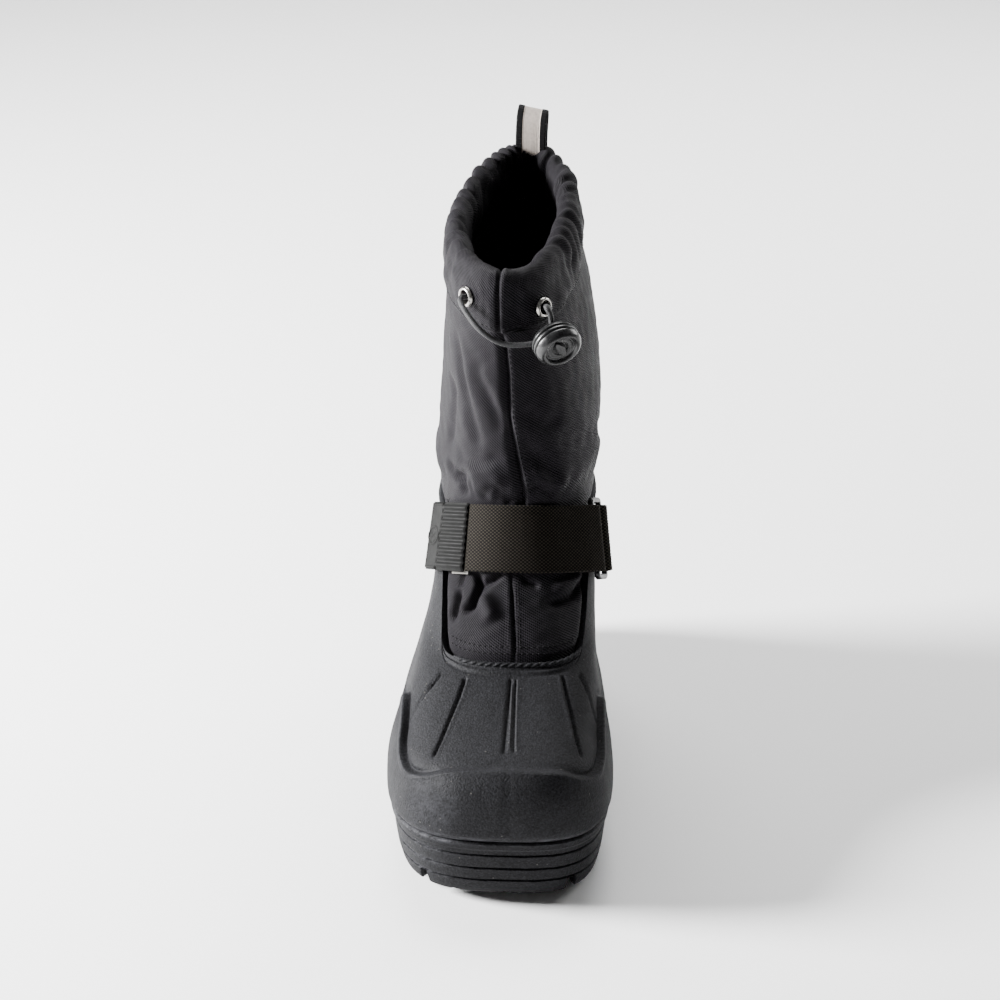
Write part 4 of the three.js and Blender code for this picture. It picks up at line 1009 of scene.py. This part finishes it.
def open_curve(stops, count):
    """A smooth line through the stops: Catmull-Rom pieces by the square root of their chords,
    cut into even lengths."""
    ends = np.concatenate([[2 * stops[0] - stops[1]], stops, [2 * stops[-1] - stops[-2]]])
    knots = np.concatenate([[0], np.cumsum(np.sqrt(np.linalg.norm(np.diff(ends, axis=0), axis=1)))])
    place = np.linspace(knots[1], knots[-2], 1200)
    i = np.clip(np.searchsorted(knots, place, side="right") - 1, 1, len(ends) - 3)
    p0, p1, p2, p3 = ends[i - 1], ends[i], ends[i + 1], ends[i + 2]
    k0, k1, k2, k3, t = (
        a[:, None] for a in (knots[i - 1], knots[i], knots[i + 1], knots[i + 2], place))
    a1 = mix(p0, p1, (t - k0) / (k1 - k0))
    a2 = mix(p1, p2, (t - k1) / (k2 - k1))
    a3 = mix(p2, p3, (t - k2) / (k3 - k2))
    b1, b2 = mix(a1, a2, (t - k0) / (k2 - k0)), mix(a2, a3, (t - k1) / (k3 - k1))
    fine = mix(b1, b2, (t - k1) / (k2 - k1))
    run = run_along(fine)
    even = np.linspace(0, run[-1], count)
    return at_places(even, run, fine), run[-1]


cord_line, cord_length = open_curve(cord_stops, 40)
cord_curve = bpy.data.curves.new("drawcord", "CURVE")
cord_curve.dimensions = "3D"
cord_curve.bevel_depth = CORD_THICK / 2000
cord_curve.bevel_resolution = 4
cord_curve.use_fill_caps = True
cord_spline = cord_curve.splines.new("POLY")
cord_spline.points.add(len(cord_line) - 1)
cord_points = np.column_stack([cord_line * 0.001, np.ones(len(cord_line))])
cord_spline.points.foreach_set("co", cord_points.ravel())
cord_spline.use_smooth = True
# Braided polyester over rubber: a dark grey with a fine diagonal braid, slightly shiny yarn,
# each yarn painted lighter at its crown and darker at its edges as painted shade between them.
braid = bare_material("polyester_braid")
braid_uv = node(braid, "ShaderNodeTexCoord").outputs["Object"]
braid_yarn = node(braid, "ShaderNodeTexVoronoi", Vector=braid_uv, Scale=1300.0)
# Painted shade: the yarn crowns are the paler grey and the gaps between them near black.
braid_colour_and_painted_shade = node(braid, "ShaderNodeMix", {"data_type": "RGBA"},
                    i0=braid_yarn.outputs["Distance"], i6=linear("#232325"),
                    i7=linear("#070708"))
braid_bump = node(braid, "ShaderNodeBump", {"invert": True}, Height=braid_yarn.outputs["Distance"],
                  Strength=0.7, Distance=0.0003)
braid_shader = node(braid, "ShaderNodeBsdfPrincipled", Base_Color=braid_colour_and_painted_shade.outputs[2],
                    Roughness=0.6, IOR=1.55, Specular_IOR_Level=0.25, Sheen_Weight=0.05,
                    Normal=braid_bump.outputs[0])
node(braid, "ShaderNodeOutputMaterial", Surface=braid_shader.outputs[0])
cord_curve.materials.append(braid)
drawcord = bpy.data.objects.new("drawcord_run", cord_curve)
bpy.context.collection.objects.link(drawcord)
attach(drawcord, "root")
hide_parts("drawcord_outer")
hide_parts("drawcord_inner")

# ---------------------------------------------------------------------------------------------
# Instep strap: polyester webbing sewn to the outer side. It crosses the instep, goes through the
# ring on the inner side and comes back over itself, held down with hook tape.
# ---------------------------------------------------------------------------------------------
STRAP = dict(width=35.0, thick=1.8, lie=2.0, y=-22.5, z=141.5, fall=0.45, start=-1.75,
             stitched=-1.61)
RING = dict(bar=3.0, inside=37.5, between=8.5, turn=1.08, lie=5.6)
OVER = STRAP["lie"] + STRAP["thick"] + 0.3


def strap_frame(turn):
    """The strap's middle at a turn: its height falls as the boot comes forward, found by
    repeating. With its three axes: along, across and out."""
    def middle(a):
        z = np.full(np.shape(a), STRAP["z"])
        for _ in range(30):
            z = mix(z, STRAP["z"]
                    - STRAP["fall"] * (foot_form(a, z)[..., 1] - MIDDLE[1] - STRAP["y"]), 0.6)
        return foot_form(a, z), outward(foot_form, a, z)
    point, out = middle(turn)
    along = middle(turn + 0.02)[0] - middle(turn - 0.02)[0]
    along = unit(along - out * np.sum(along * out, -1, keepdims=True))
    return point, along, np.cross(out, along), out


def strap_line(turn, along, out):
    """Points and cross axes of webbing at stations of turn, length along and height out."""
    point, ahead, across, normal = strap_frame(turn)
    return point + ahead * along[:, None] + normal * out[:, None], across


def even_run(line, across, spacing):
    """Stations resampled to an even spacing along the line."""
    run = run_along(line)
    even = np.linspace(0, run[-1], int(run[-1] / spacing) + 1)
    return at_places(even, run, line), unit(at_places(even, run, across)), even


def band(line, across, run, width, thick, relief, columns=64, round_off=0.7):
    """A strip along a line: a flat section with rounded edges, whose faces rise by a relief of
    the place along and across. Returns points, quads, ends and UVs in mm."""
    face = unit(np.cross(np.gradient(line, axis=0), across))
    w = np.linspace(-0.5, 0.5, columns)
    w = np.sin(w * pi) / 2 * 0.12 + w * 0.88
    over = np.concatenate([w, w[::-1]])
    sign = np.repeat([1.0, -1.0], columns)
    from_edge = (0.5 - np.abs(over)) * width
    rounding = 1 - np.clip(from_edge / round_off, 0.06, 1)
    half = thick / 2 * np.sqrt(np.clip(1 - rounding**2, 0, 1))
    height = sign * half + relief(run[:, None], over[None] * width, sign[None]) * sign
    points = (line[:, None] + across[:, None] * (over * width)[None, :, None]
              + face[:, None] * height[..., None])
    total = 2 * columns
    u = np.broadcast_to(run[:, None], (len(run), total + 1))
    v = np.broadcast_to(np.concatenate([over, over[:1]]) * width, (len(run), total + 1))
    last = (len(run) - 1) * total
    caps = [list(range(total))[::-1], list(range(last, last + total))]
    return points.reshape(-1, 3), ring_faces(len(run), total, False), caps, ring_uv(u, v, False)


def woven(u, v, sign):
    """Webbing's ribs: a basket of sines, 2.1 mm along and 1.75 mm across."""
    return 0.42 * np.sin(tau * u / 2.1) * np.sin(tau * v / 1.75)


def round_bar(side, count=24):
    """A half turn of webbing round one bar of the ring."""
    radius = RING["bar"] * np.sqrt(0.5) + 0.48 + STRAP["thick"] / 2
    t = np.linspace(-pi / 2, pi / 2, count)
    middle = side * (RING["between"] + RING["bar"]) / 2
    along, out = middle - side * radius * np.cos(t), RING["lie"] + radius * np.sin(t)
    return np.full(count, RING["turn"]), along, out


def strap_path(low, side, back, lifts):
    """The under run, the turn round the bar and the run back over it, as one line."""
    bar = round_bar(side)
    turn_back = np.linspace(back[0], back[1], back[2])
    lift = OVER + np.interp(np.arange(back[2]), np.arange(len(lifts) + 1), list(lifts) + [0.0])
    turn = np.concatenate([low, bar[0], turn_back])
    along = np.concatenate([0 * low, bar[1], 0 * turn_back])
    out = np.concatenate([np.full(len(low), STRAP["lie"]), bar[2], lift])
    line, across = strap_line(turn, along, out)
    smooth_line, _ = open_curve(line, 700)
    run = run_along(line)
    even = np.linspace(0, run[-1], 700)
    across = unit(at_places(even, run, across))
    return even_run(smooth_line, across, 0.58)


strap_stations, strap_across, strap_run = strap_path(
    np.linspace(STRAP["start"], RING["turn"] - 0.14, 40), -1,
    (RING["turn"] - 0.26, -0.52, 13), (3.0, 1.4, 0.4))


def polyester_webbing(name, dark, light, cell_mm):
    """Woven polyester webbing, dyed black and faded to a brown-olive: thick matt yarns that stand
    up as a basket, with near-black painted shade between them and pale flecks of dust."""
    m = bare_material(name)
    uv = node(m, "ShaderNodeUVMap").outputs[0]
    place = node(m, "ShaderNodeTexCoord").outputs["Object"]
    along = node(m, "ShaderNodeVectorMath", {"operation": "DOT_PRODUCT"}, i0=uv,
                 i1=(tau / cell_mm, 0.0, 0.0))
    across = node(m, "ShaderNodeVectorMath", {"operation": "DOT_PRODUCT"}, i0=uv,
                  i1=(0.0, tau / (cell_mm * 0.833), 0.0))
    warp = node(m, "ShaderNodeMath", {"operation": "SINE"}, i0=along.outputs["Value"])
    weft = node(m, "ShaderNodeMath", {"operation": "SINE"}, i0=across.outputs["Value"])
    basket = node(m, "ShaderNodeMath", {"operation": "MULTIPLY"}, i0=warp.outputs[0],
                  i1=weft.outputs[0])
    # Painted shade: low in the basket, between the yarns, the colour goes near black; on the yarns'
    # crowns it is their faded brown-olive.
    share = node(m, "ShaderNodeMapRange", Value=basket.outputs[0], i1=-0.3, i2=0.8, i3=0.0, i4=1.0)
    yarn_and_painted_shade = node(m, "ShaderNodeMix", {"data_type": "RGBA"}, i0=share.outputs[0], i6=linear(dark),
                i7=linear(light))
    fade = node(m, "ShaderNodeTexNoise", Vector=place, Scale=1800.0, Detail=2.0)
    fibre = node(m, "ShaderNodeMapRange", Value=fade.outputs[0], i1=0.55, i2=0.75, i3=0.0, i4=0.4)
    colour = node(m, "ShaderNodeMix", {"data_type": "RGBA"}, i0=fibre.outputs[0],
                  i6=yarn_and_painted_shade.outputs[2], i7=linear("#2a2824"))
    fuzz = node(m, "ShaderNodeBump", Height=fade.outputs[0], Strength=0.5, Distance=0.0003)
    shader = node(m, "ShaderNodeBsdfPrincipled", Base_Color=colour.outputs[2], Roughness=0.85,
                  IOR=1.55, Specular_IOR_Level=0.08, Sheen_Weight=0.01,
                  Normal=fuzz.outputs[0])
    node(m, "ShaderNodeOutputMaterial", Surface=shader.outputs[0])
    return m


# Its near-black first colour is the painted shade between the yarns.
webbing_yarn = polyester_webbing("polyester_webbing", "#010101", "#2f2b25", 2.1)
points, quads, ends, uv = band(strap_stations, strap_across, strap_run, STRAP["width"],
                               STRAP["thick"], woven)
strap = put_mesh("strap_webbing", points, quads, webbing_yarn, uv=uv, caps=ends,
                 sharp=70)
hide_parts("strap")

# Hook tape: a pale strip of nylon hooks sewn under the strap's free end, a sliver of it showing.
hook_turn = np.linspace(-0.50, -0.72, 12)
hook_line, hook_across = strap_line(hook_turn, 0 * hook_turn, np.full(12, OVER - 0.9))
hook_line = hook_line - hook_across * 2.6
hook_line, hook_across, hook_run = even_run(hook_line, hook_across, 0.5)


def hooks(u, v, sign):
    """Rows of hooks 1.4 mm apart each way: a product of two sines."""
    return 0.18 * np.sin(tau * u / 1.4) * np.sin(tau * v / 1.4)


points, quads, ends, uv = band(hook_line, hook_across, hook_run, STRAP["width"] - 2.0, 0.5, hooks)
hook_nylon = bare_material("nylon_hook_tape")
hook_shader = node(hook_nylon, "ShaderNodeBsdfPrincipled", Base_Color=linear("#5f5d58"),
                   Roughness=0.7, IOR=1.53)
node(hook_nylon, "ShaderNodeOutputMaterial", Surface=hook_shader.outputs[0])
put_mesh("hook_tape", points, quads, hook_nylon, uv=uv, caps=ends)

# ---------------------------------------------------------------------------------------------
# Strap end: soft PVC moulded over the webbing's free end. Ribs run along it, and its outer third
# thins to a tab to pull, with a plain round badge.
# ---------------------------------------------------------------------------------------------
tip_turn = np.linspace(-0.54, -1.16, 30)
tip_out = OVER + 0.6 + 0.03 * np.linspace(0, 8, 30) ** 2
tip_line, tip_across = strap_line(tip_turn, 0 * tip_turn, tip_out)
tip_line, tip_across, tip_run = even_run(tip_line, tip_across, 0.28)
TIP = dict(width=36.0, thick=3.0, ribs=9, badge=4.6, tab=12.0)


def tip_relief(u, v, sign):
    """Ribs along the first part, then a raised border and a round badge on the tab; the far
    corners are rounded off by thinning."""
    length = tip_run[-1]
    on_tab = smooth(length - TIP["tab"] - 0.4, length - TIP["tab"] + 0.4, u)
    rib = 0.55 * np.cos(tau * v / (TIP["width"] / (TIP["ribs"] + 0.5)))
    inset = np.minimum(TIP["width"] / 2 - np.abs(v), length - u)
    border = 0.45 * bell(inset - 1.3, 0.7)
    r = np.hypot(u - (length - TIP["tab"] / 2), v)
    badge_lobes = 0.5 + 0.5 * np.cos(3 * np.arctan2(v, u - length + TIP["tab"] / 2))
    badge = 0.5 * bell(r - TIP["badge"], 0.5) + 0.4 * smooth(3.9, 3.3, r) * badge_lobes
    groove = -0.6 * bell(u - (length - TIP["tab"]), 0.5)
    edge = -0.9 * smooth(1.2, 0.0, length - u) - 0.5 * smooth(1.0, 0.0, u)
    return (sign > 0) * ((1 - on_tab) * rib + on_tab * (border + badge - 0.3) + groove) + edge


points, quads, ends, uv = band(tip_line, -tip_across, tip_run, TIP["width"], TIP["thick"],
                               tip_relief, columns=110, round_off=1.4)


def soft_pvc(name, dark, light):
    """Soft moulded PVC: a smooth matt black that picks up a grey dusty haze on its ribs."""
    m = bare_material(name)
    place = node(m, "ShaderNodeTexCoord").outputs["Object"]
    haze = node(m, "ShaderNodeTexNoise", Vector=place, Scale=240.0, Detail=5.0, Roughness=0.65)
    colour = node(m, "ShaderNodeMix", {"data_type": "RGBA"}, i0=haze.outputs[0], i6=linear(dark),
                  i7=linear(light))
    rough = node(m, "ShaderNodeMapRange", Value=haze.outputs[0], i1=0.3, i2=0.7, i3=0.6, i4=0.76)
    grain = node(m, "ShaderNodeBump", Height=haze.outputs[0], Strength=0.25, Distance=0.0002)
    shader = node(m, "ShaderNodeBsdfPrincipled", Base_Color=colour.outputs[2], IOR=1.53,
                  Roughness=rough.outputs[0], Specular_IOR_Level=0.12,
                  Normal=grain.outputs[0])
    node(m, "ShaderNodeOutputMaterial", Surface=shader.outputs[0])
    return m


tip_pvc = soft_pvc("soft_moulded_pvc", "#040404", "#0d0d0c")
strap_tip = put_mesh("strap_end_moulding", points, quads, tip_pvc, uv=uv, caps=ends,
                     sharp=60)
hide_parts("strap_tip")

# ---------------------------------------------------------------------------------------------
# Ring and keeper: an oblong moulded loop, held to the inner side by a short fold of the same
# webbing, which is sewn down with a box of stitches.
# ---------------------------------------------------------------------------------------------
ring_place = strap_frame(np.array([RING["turn"]]))
ring_point, ring_along, ring_across, ring_out = (v[0] for v in ring_place)
ring_centre = ring_point + ring_out * RING["lie"]


def rounded_path(half_a, half_b, corner, steps):
    """A rectangle with round corners, as quarter circles joined by straight sides, cut evenly."""
    t = np.linspace(0, pi / 2, 16)
    quarter = np.column_stack([np.cos(t), np.sin(t)]) * corner
    turns = [(1, 1, 0), (-1, 1, 1), (-1, -1, 2), (1, -1, 3)]
    parts = []
    for sa, sb, k in turns:
        spin = np.array([[cos(k * pi / 2), -sin(k * pi / 2)], [sin(k * pi / 2), cos(k * pi / 2)]])
        parts.append(quarter @ spin.T + [sa * (half_a - corner), sb * (half_b - corner)])
    loop = np.concatenate(parts + [parts[0][:1]])
    run = run_along(loop)
    even = np.arange(steps) / steps * run[-1]
    return np.column_stack([np.interp(even, run, column) for column in loop.T])


ring_path = rounded_path((RING["between"] + RING["bar"]) / 2, (RING["inside"] + RING["bar"]) / 2,
                         1.9, 240)
ahead = unit(np.roll(ring_path, -1, axis=0) - np.roll(ring_path, 1, axis=0))
sideways = np.column_stack([ahead[:, 1], -ahead[:, 0]])
way = np.arange(24) / 24 * tau
bar = np.column_stack([np.sign(np.cos(way)) * np.abs(np.cos(way)) ** 0.5,
                       np.sign(np.sin(way)) * np.abs(np.sin(way)) ** 0.5])
bar *= RING["bar"] / 2
flat = ring_path[:, None] + sideways[:, None] * bar[None, :, :1]
ring_points = (ring_centre + flat[..., :1] * ring_along + flat[..., 1:] * ring_across
               + np.broadcast_to(bar[None, :, 1:], flat[..., :1].shape) * ring_out)
strap_ring = put_mesh("strap_ring_moulding", ring_points, ring_faces(240, 24, True), acetal,
                      sharp=50)
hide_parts("strap_ring")

keeper_stations, keeper_across, keeper_run = strap_path(
    np.linspace(RING["turn"] + 0.62, RING["turn"] + 0.18, 14), 1,
    (RING["turn"] + 0.22, RING["turn"] + 0.6, 6), (3.2, 1.5, 0.4))
points, quads, ends, uv = band(keeper_stations, keeper_across, keeper_run, STRAP["width"],
                               STRAP["thick"], woven)
keeper = put_mesh("ring_keeper_webbing", points, quads, webbing_yarn, uv=uv, caps=ends,
                  sharp=70)
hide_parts("ring_keeper")

# ---------------------------------------------------------------------------------------------
# Stitches: lock stitches in bonded black thread. Two rows hold the cloth to the throat's foot,
# one runs beside the front seam, one round the casing's foot, and a box holds the keeper.
# ---------------------------------------------------------------------------------------------
STITCH = dict(thread=0.3, length=2.2, pitch=2.9)


def on_grid(grid, rows, columns):
    """Points of a grid at fractional rows and columns, shared between the four around each."""
    i = np.clip(rows.astype(int), 0, grid.shape[0] - 2)
    j = np.clip(columns.astype(int), 0, grid.shape[1] - 2)
    a, b = (rows - i)[:, None], (columns - j)[:, None]
    return mix(mix(grid[i, j], grid[i, j + 1], b), mix(grid[i + 1, j], grid[i + 1, j + 1], b), a)


def on_cloth(turn, height):
    """A point of the finished cloth at a turn and height."""
    column = np.interp(turn, cloth_turn, np.arange(len(cloth_turn)))
    foot = line_height(SHAFT_FOOT, turn)
    row = np.interp((height - foot) / (SHAFT_TOP - foot), cloth_share, np.arange(len(cloth_share)))
    return on_grid(cloth_skin, row, column)


def stitch_row(line, out, thread=STITCH["thread"], length=STITCH["length"], pitch=STITCH["pitch"]):
    """A row of stitches along a line: each is a six-sided bead, thinner towards its two ends,
    which dive into the cloth by the cube of the way from its middle."""
    run = run_along(line)
    count = int(run[-1] / pitch)
    spots = (np.arange(count) + 0.5) * pitch
    centre, normal = at_places(spots, run, line), unit(at_places(spots, run, out))
    ahead = unit(at_places(spots + 0.4, run, line) - at_places(spots - 0.4, run, line))
    side_axis = np.cross(ahead, normal)
    s = np.array([-1, -0.8, -0.35, 0.35, 0.8, 1.0])
    size = thread * np.array([0.5, 0.85, 1.0, 1.0, 0.85, 0.5])
    sink = thread * (0.45 - 1.3 * np.abs(s) ** 3)
    spin = np.arange(6) / 6 * tau
    points = (centre[:, None, None] + ahead[:, None, None] * (s * length / 2)[None, :, None, None]
              + normal[:, None, None]
              * (sink[:, None] + size[:, None] * np.cos(spin))[None, :, :, None]
              + side_axis[:, None, None] * (size[:, None] * np.sin(spin))[None, :, :, None])
    one = ring_faces(6, 6, False)
    quads = (one[None] + 36 * np.arange(count)[:, None, None]).reshape(-1, 4)
    starts = 36 * np.arange(count)[:, None]
    caps = np.concatenate([starts + np.arange(6)[::-1], starts + 30 + np.arange(6)])
    return points.reshape(-1, 3), quads, caps


def stitch_piece(name, rows, material):
    """Several rows of stitches as one piece."""
    points, quads, caps, count = [], [], [], 0
    for row in rows:
        p, q, c = row
        points.append(p)
        quads.append(q + count)
        caps.append(c + count)
        count += len(p)
    return put_mesh(name, np.concatenate(points), np.concatenate(quads), material,
                    caps=np.concatenate(caps).tolist())


# Bonded polyester thread: a touch paler and glossier than the cloth, so the rows just show.
thread = bare_material("bonded_thread")
thread_shader = node(thread, "ShaderNodeBsdfPrincipled", Base_Color=linear("#070608"),
                     Roughness=0.65, IOR=1.55, Specular_IOR_Level=0.1)
node(thread, "ShaderNodeOutputMaterial", Surface=thread_shader.outputs[0])

throat_turn = np.radians(np.linspace(-42, 43, 120))
throat_rows = []
for up in (3.2, 5.4):
    height = line_height(RIM, throat_turn) + up
    throat_rows.append((on_cloth(throat_turn, height), outward(foot_form, throat_turn, height)))
seam_fine = np.linspace(0, len(seam_turn) - 1, 200)
seam_t = np.interp(seam_fine, np.arange(len(seam_turn)), seam_turn) + 0.012
seam_z = np.interp(seam_fine, np.arange(len(seam_turn)), np.minimum(seam_height, SHAFT_TOP - 1))
beside_seam = on_cloth(seam_t + 0.022, seam_z)
# The strap hides the seam's middle, and the casing its top.
lower, upper = seam_z < 124, (seam_z > 163) & (seam_z < 262)
seam_out = outward(leg_form, seam_t, np.maximum(seam_z, 150))
seam_rows = [stitch_row(beside_seam[part], seam_out[part]) for part in (lower, upper)]
round_foot = np.full(500, 0.052 * SECTION_POINTS), np.linspace(0, len(casing_turn) - 1, 500)
foot_row, foot_out = on_grid(casing_skin, *round_foot), on_grid(casing_out, *round_foot)
throat_rows = [stitch_row(*row) for row in throat_rows]
stitch_piece("seam_stitches", throat_rows + seam_rows + [stitch_row(foot_row, foot_out)],
             thread)


def box_row(turn, half_long, lie):
    """A rectangle of stitches on webbing round a turn, at a height out from the boot."""
    box = rounded_path(half_long, 13.5, 1.0, 160)
    per_turn = (np.linalg.norm(strap_frame(np.array([turn + 0.05]))[0]
                               - strap_frame(np.array([turn - 0.05]))[0]) / 0.1)
    point, _, across, out = strap_frame(turn + box[:, 0] / per_turn)
    return stitch_row(point + across * box[:, 1:] + out * (lie + STRAP["thick"] / 2 + 0.15), out)


stitch_piece("webbing_stitches", [box_row(RING["turn"] + 0.42, 7.5, OVER),
                                  box_row(STRAP["stitched"], 6.5, STRAP["lie"])],
             thread)

# ---------------------------------------------------------------------------------------------
# Pull loop: a folded tape sewn into the back of the casing, to pull the boot on by. Woven black
# selvedges run beside a pale reflective middle.
# ---------------------------------------------------------------------------------------------
LOOP = dict(width=16.5, thick=1.4, height=21.0, gap=7.0, x=6.5, turn=0.1, middle=9.6)
leg = LOOP["gap"] / 2 + LOOP["thick"] / 2
bend = leg + 1.0
arc = np.linspace(pi, 0, 40)
loop_a = np.concatenate([[-leg + 0.6, -leg, -leg - 0.4], bend * np.cos(arc),
                         [leg + 0.4, leg, leg - 0.6]])
loop_b = np.concatenate([[-5, 0, 7], LOOP["height"] * 0.7 + bend * np.sin(arc), [7, 0, -5]])
loop_base = casing_form(np.array(pi), -4.5, 30.0)
loop_origin = np.array([LOOP["x"] + MIDDLE[0], loop_base[1], loop_base[2] + 0.6])
loop_fore = np.array([sin(LOOP["turn"]), cos(LOOP["turn"]), 0])
loop_wide = np.array([cos(LOOP["turn"]), -sin(LOOP["turn"]), 0])
loop_stops = loop_origin + loop_a[:, None] * loop_fore + loop_b[:, None] * np.array([0.0, 0.0, 1.0])
# Handled soft, it leans a little to one side and its crown is not quite level.
rise = np.clip(loop_b, 0, None) / LOOP["height"]
loop_stops = loop_stops + (1.0 * rise**2)[:, None] * loop_wide
loop_line, _ = open_curve(loop_stops, 260)
crown = np.clip(loop_line[:, 2] - loop_origin[2], 0, None) / LOOP["height"]
loop_across = unit(loop_wide + (0.03 - 0.22 * crown)[:, None] * np.array([0.0, 0.0, 1.0]))
loop_line, loop_across, loop_run = even_run(loop_line, loop_across, 0.36)


def tape_weave(u, v, sign):
    """Ribs across the selvedges 1.3 mm apart, and finer ones on the middle, which lies lower."""
    edge = smooth(LOOP["middle"] / 2 - 0.3, LOOP["middle"] / 2 + 0.3, np.abs(v))
    return edge * (0.16 * np.sin(tau * u / 1.3) + 0.22) + (1 - edge) * 0.07 * np.sin(tau * v / 0.9)


points, quads, ends, uv = band(loop_line, loop_across, loop_run, LOOP["width"], LOOP["thick"],
                               tape_weave, columns=56, round_off=0.6)
# Woven polyester tape: matt black selvedges and a warm grey-white middle, ribbed and a bit grubby.
tape = bare_material("woven_reflective_tape")
tape_uv = node(tape, "ShaderNodeUVMap").outputs[0]
tape_place = node(tape, "ShaderNodeTexCoord").outputs["Object"]
tape_axes = node(tape, "ShaderNodeSeparateXYZ", Vector=tape_uv)
tape_off = node(tape, "ShaderNodeMath", {"operation": "ABSOLUTE"}, i0=tape_axes.outputs[1])
tape_edge = node(tape, "ShaderNodeMapRange", Value=tape_off.outputs[0], i1=4.7, i2=4.9, i3=0.0,
                 i4=1.0)
tape_soil = node(tape, "ShaderNodeTexNoise", Vector=tape_place, Scale=500.0, Detail=4.0,
                 Roughness=0.7)
tape_pale = node(tape, "ShaderNodeMix", {"data_type": "RGBA"}, i0=tape_soil.outputs[0],
                 i6=linear("#8f857d"), i7=linear("#d8cdc4"))
tape_colour = node(tape, "ShaderNodeMix", {"data_type": "RGBA"}, i0=tape_edge.outputs[0],
                   i6=tape_pale.outputs[2], i7=linear("#070608"))
tape_shader = node(tape, "ShaderNodeBsdfPrincipled", Base_Color=tape_colour.outputs[2],
                   Roughness=0.8, IOR=1.55, Specular_IOR_Level=0.15)
node(tape, "ShaderNodeOutputMaterial", Surface=tape_shader.outputs[0])
pull_loop = put_mesh("pull_loop_tape", points, quads, tape, uv=uv, caps=ends, sharp=60)
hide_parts("pull_loop")

# ---------------------------------------------------------------------------------------------
# Frayed ends: three loose threads at the upper corner of the strap's moulded end.
# ---------------------------------------------------------------------------------------------
fray_point, fray_along, fray_across, fray_out = (v[0] for v in strap_frame(np.array([-1.0])))
fray_root = fray_point + fray_across * 17.4 + fray_out * 3.0
FRAYS = [(-3.4, 1.6, 0.9), (-2.2, 3.0, -0.7), (1.2, 2.4, 1.2)]  # sweep, rise and curl of each
for number, (sweep, rise, curl) in enumerate(FRAYS):
    t = np.linspace(0, 1, 18)[:, None]
    along, up, out = number * 0.9 - sweep * t, rise * np.sin(t * 2.1), 0.8 * t + curl * t**2
    line = fray_root + fray_along * along + fray_across * up + fray_out * out
    points, quads, ends = tube(line, 0.16 * (1 - 0.5 * t[:, 0]), 6, square_to=fray_out)
    put_mesh(f"frayed_thread_{number + 1}", points, quads, thread, caps=ends)

# ---------------------------------------------------------------------------------------------
# Studio: a plain white floor, a soft light low on the left that leaves the right side dark, weak
# ones in front and behind, one over the floor, and the camera 1.2 metres off, looking down.
# ---------------------------------------------------------------------------------------------
floor_mesh = bpy.data.meshes.new("floor")
floor_mesh.from_pydata([(-6, -4, 0), (6, -4, 0), (6, 9, 0), (-6, 9, 0)], [], [(0, 1, 2, 3)])
floor = bpy.data.objects.new("floor", floor_mesh)
bpy.context.collection.objects.link(floor)
paint = bare_material("white_paint")
paint_shader = node(paint, "ShaderNodeBsdfPrincipled", Base_Color=linear("#fafafa"), Roughness=0.9)
node(paint, "ShaderNodeOutputMaterial", Surface=paint_shader.outputs[0])
floor_mesh.materials.append(paint)

LIGHTS = [
    dict(name="soft_key", place=(-1.7, -0.05, 0.78), aim=(0, 0, 0.12), size=0.6, power=250.0),
    dict(name="soft_fill", place=(-0.2, -1.6, 1.2), aim=(0, 0, 0.12), size=1.0, power=0.3),
    dict(name="soft_top", place=(0.0, 1.3, 1.9), aim=(0.0, 0.9, 0.0), size=1.6, power=75.0),
    dict(name="soft_back", place=(1.5, 1.3, 0.9), aim=(0, 0, 0.12), size=1.0, power=22.0),
]
for light in LIGHTS:
    lamp = bpy.data.lights.new(light["name"], "AREA")
    lamp.shape, lamp.size, lamp.energy = "DISK", light["size"], light["power"]
    lamp_object = bpy.data.objects.new(light["name"], lamp)
    bpy.context.collection.objects.link(lamp_object)
    lamp_object.location = light["place"]
    lamp_object.rotation_euler = (Vector(light["aim"])
                                  - Vector(light["place"])).to_track_quat("-Z", "Y").to_euler()
world = bpy.data.worlds.new("white_room")
bpy.context.scene.world = world
world.use_nodes = True
world.node_tree.nodes["Background"].inputs[0].default_value = (1.0, 1.0, 1.0, 1.0)
world.node_tree.nodes["Background"].inputs[1].default_value = 0.09

CAMERA = dict(place=(0.0371, -1.0838, 0.6471), aim=(-0.0034, 0.0084, 0.1511), lens=82.0)
camera_data = bpy.data.cameras.new("camera")
camera_data.lens = CAMERA["lens"]
camera = bpy.data.objects.new("camera", camera_data)
bpy.context.collection.objects.link(camera)
camera.location = CAMERA["place"]
camera.rotation_euler = (Vector(CAMERA["aim"])
                         - Vector(CAMERA["place"])).to_track_quat("-Z", "Y").to_euler()
bpy.context.scene.camera = camera
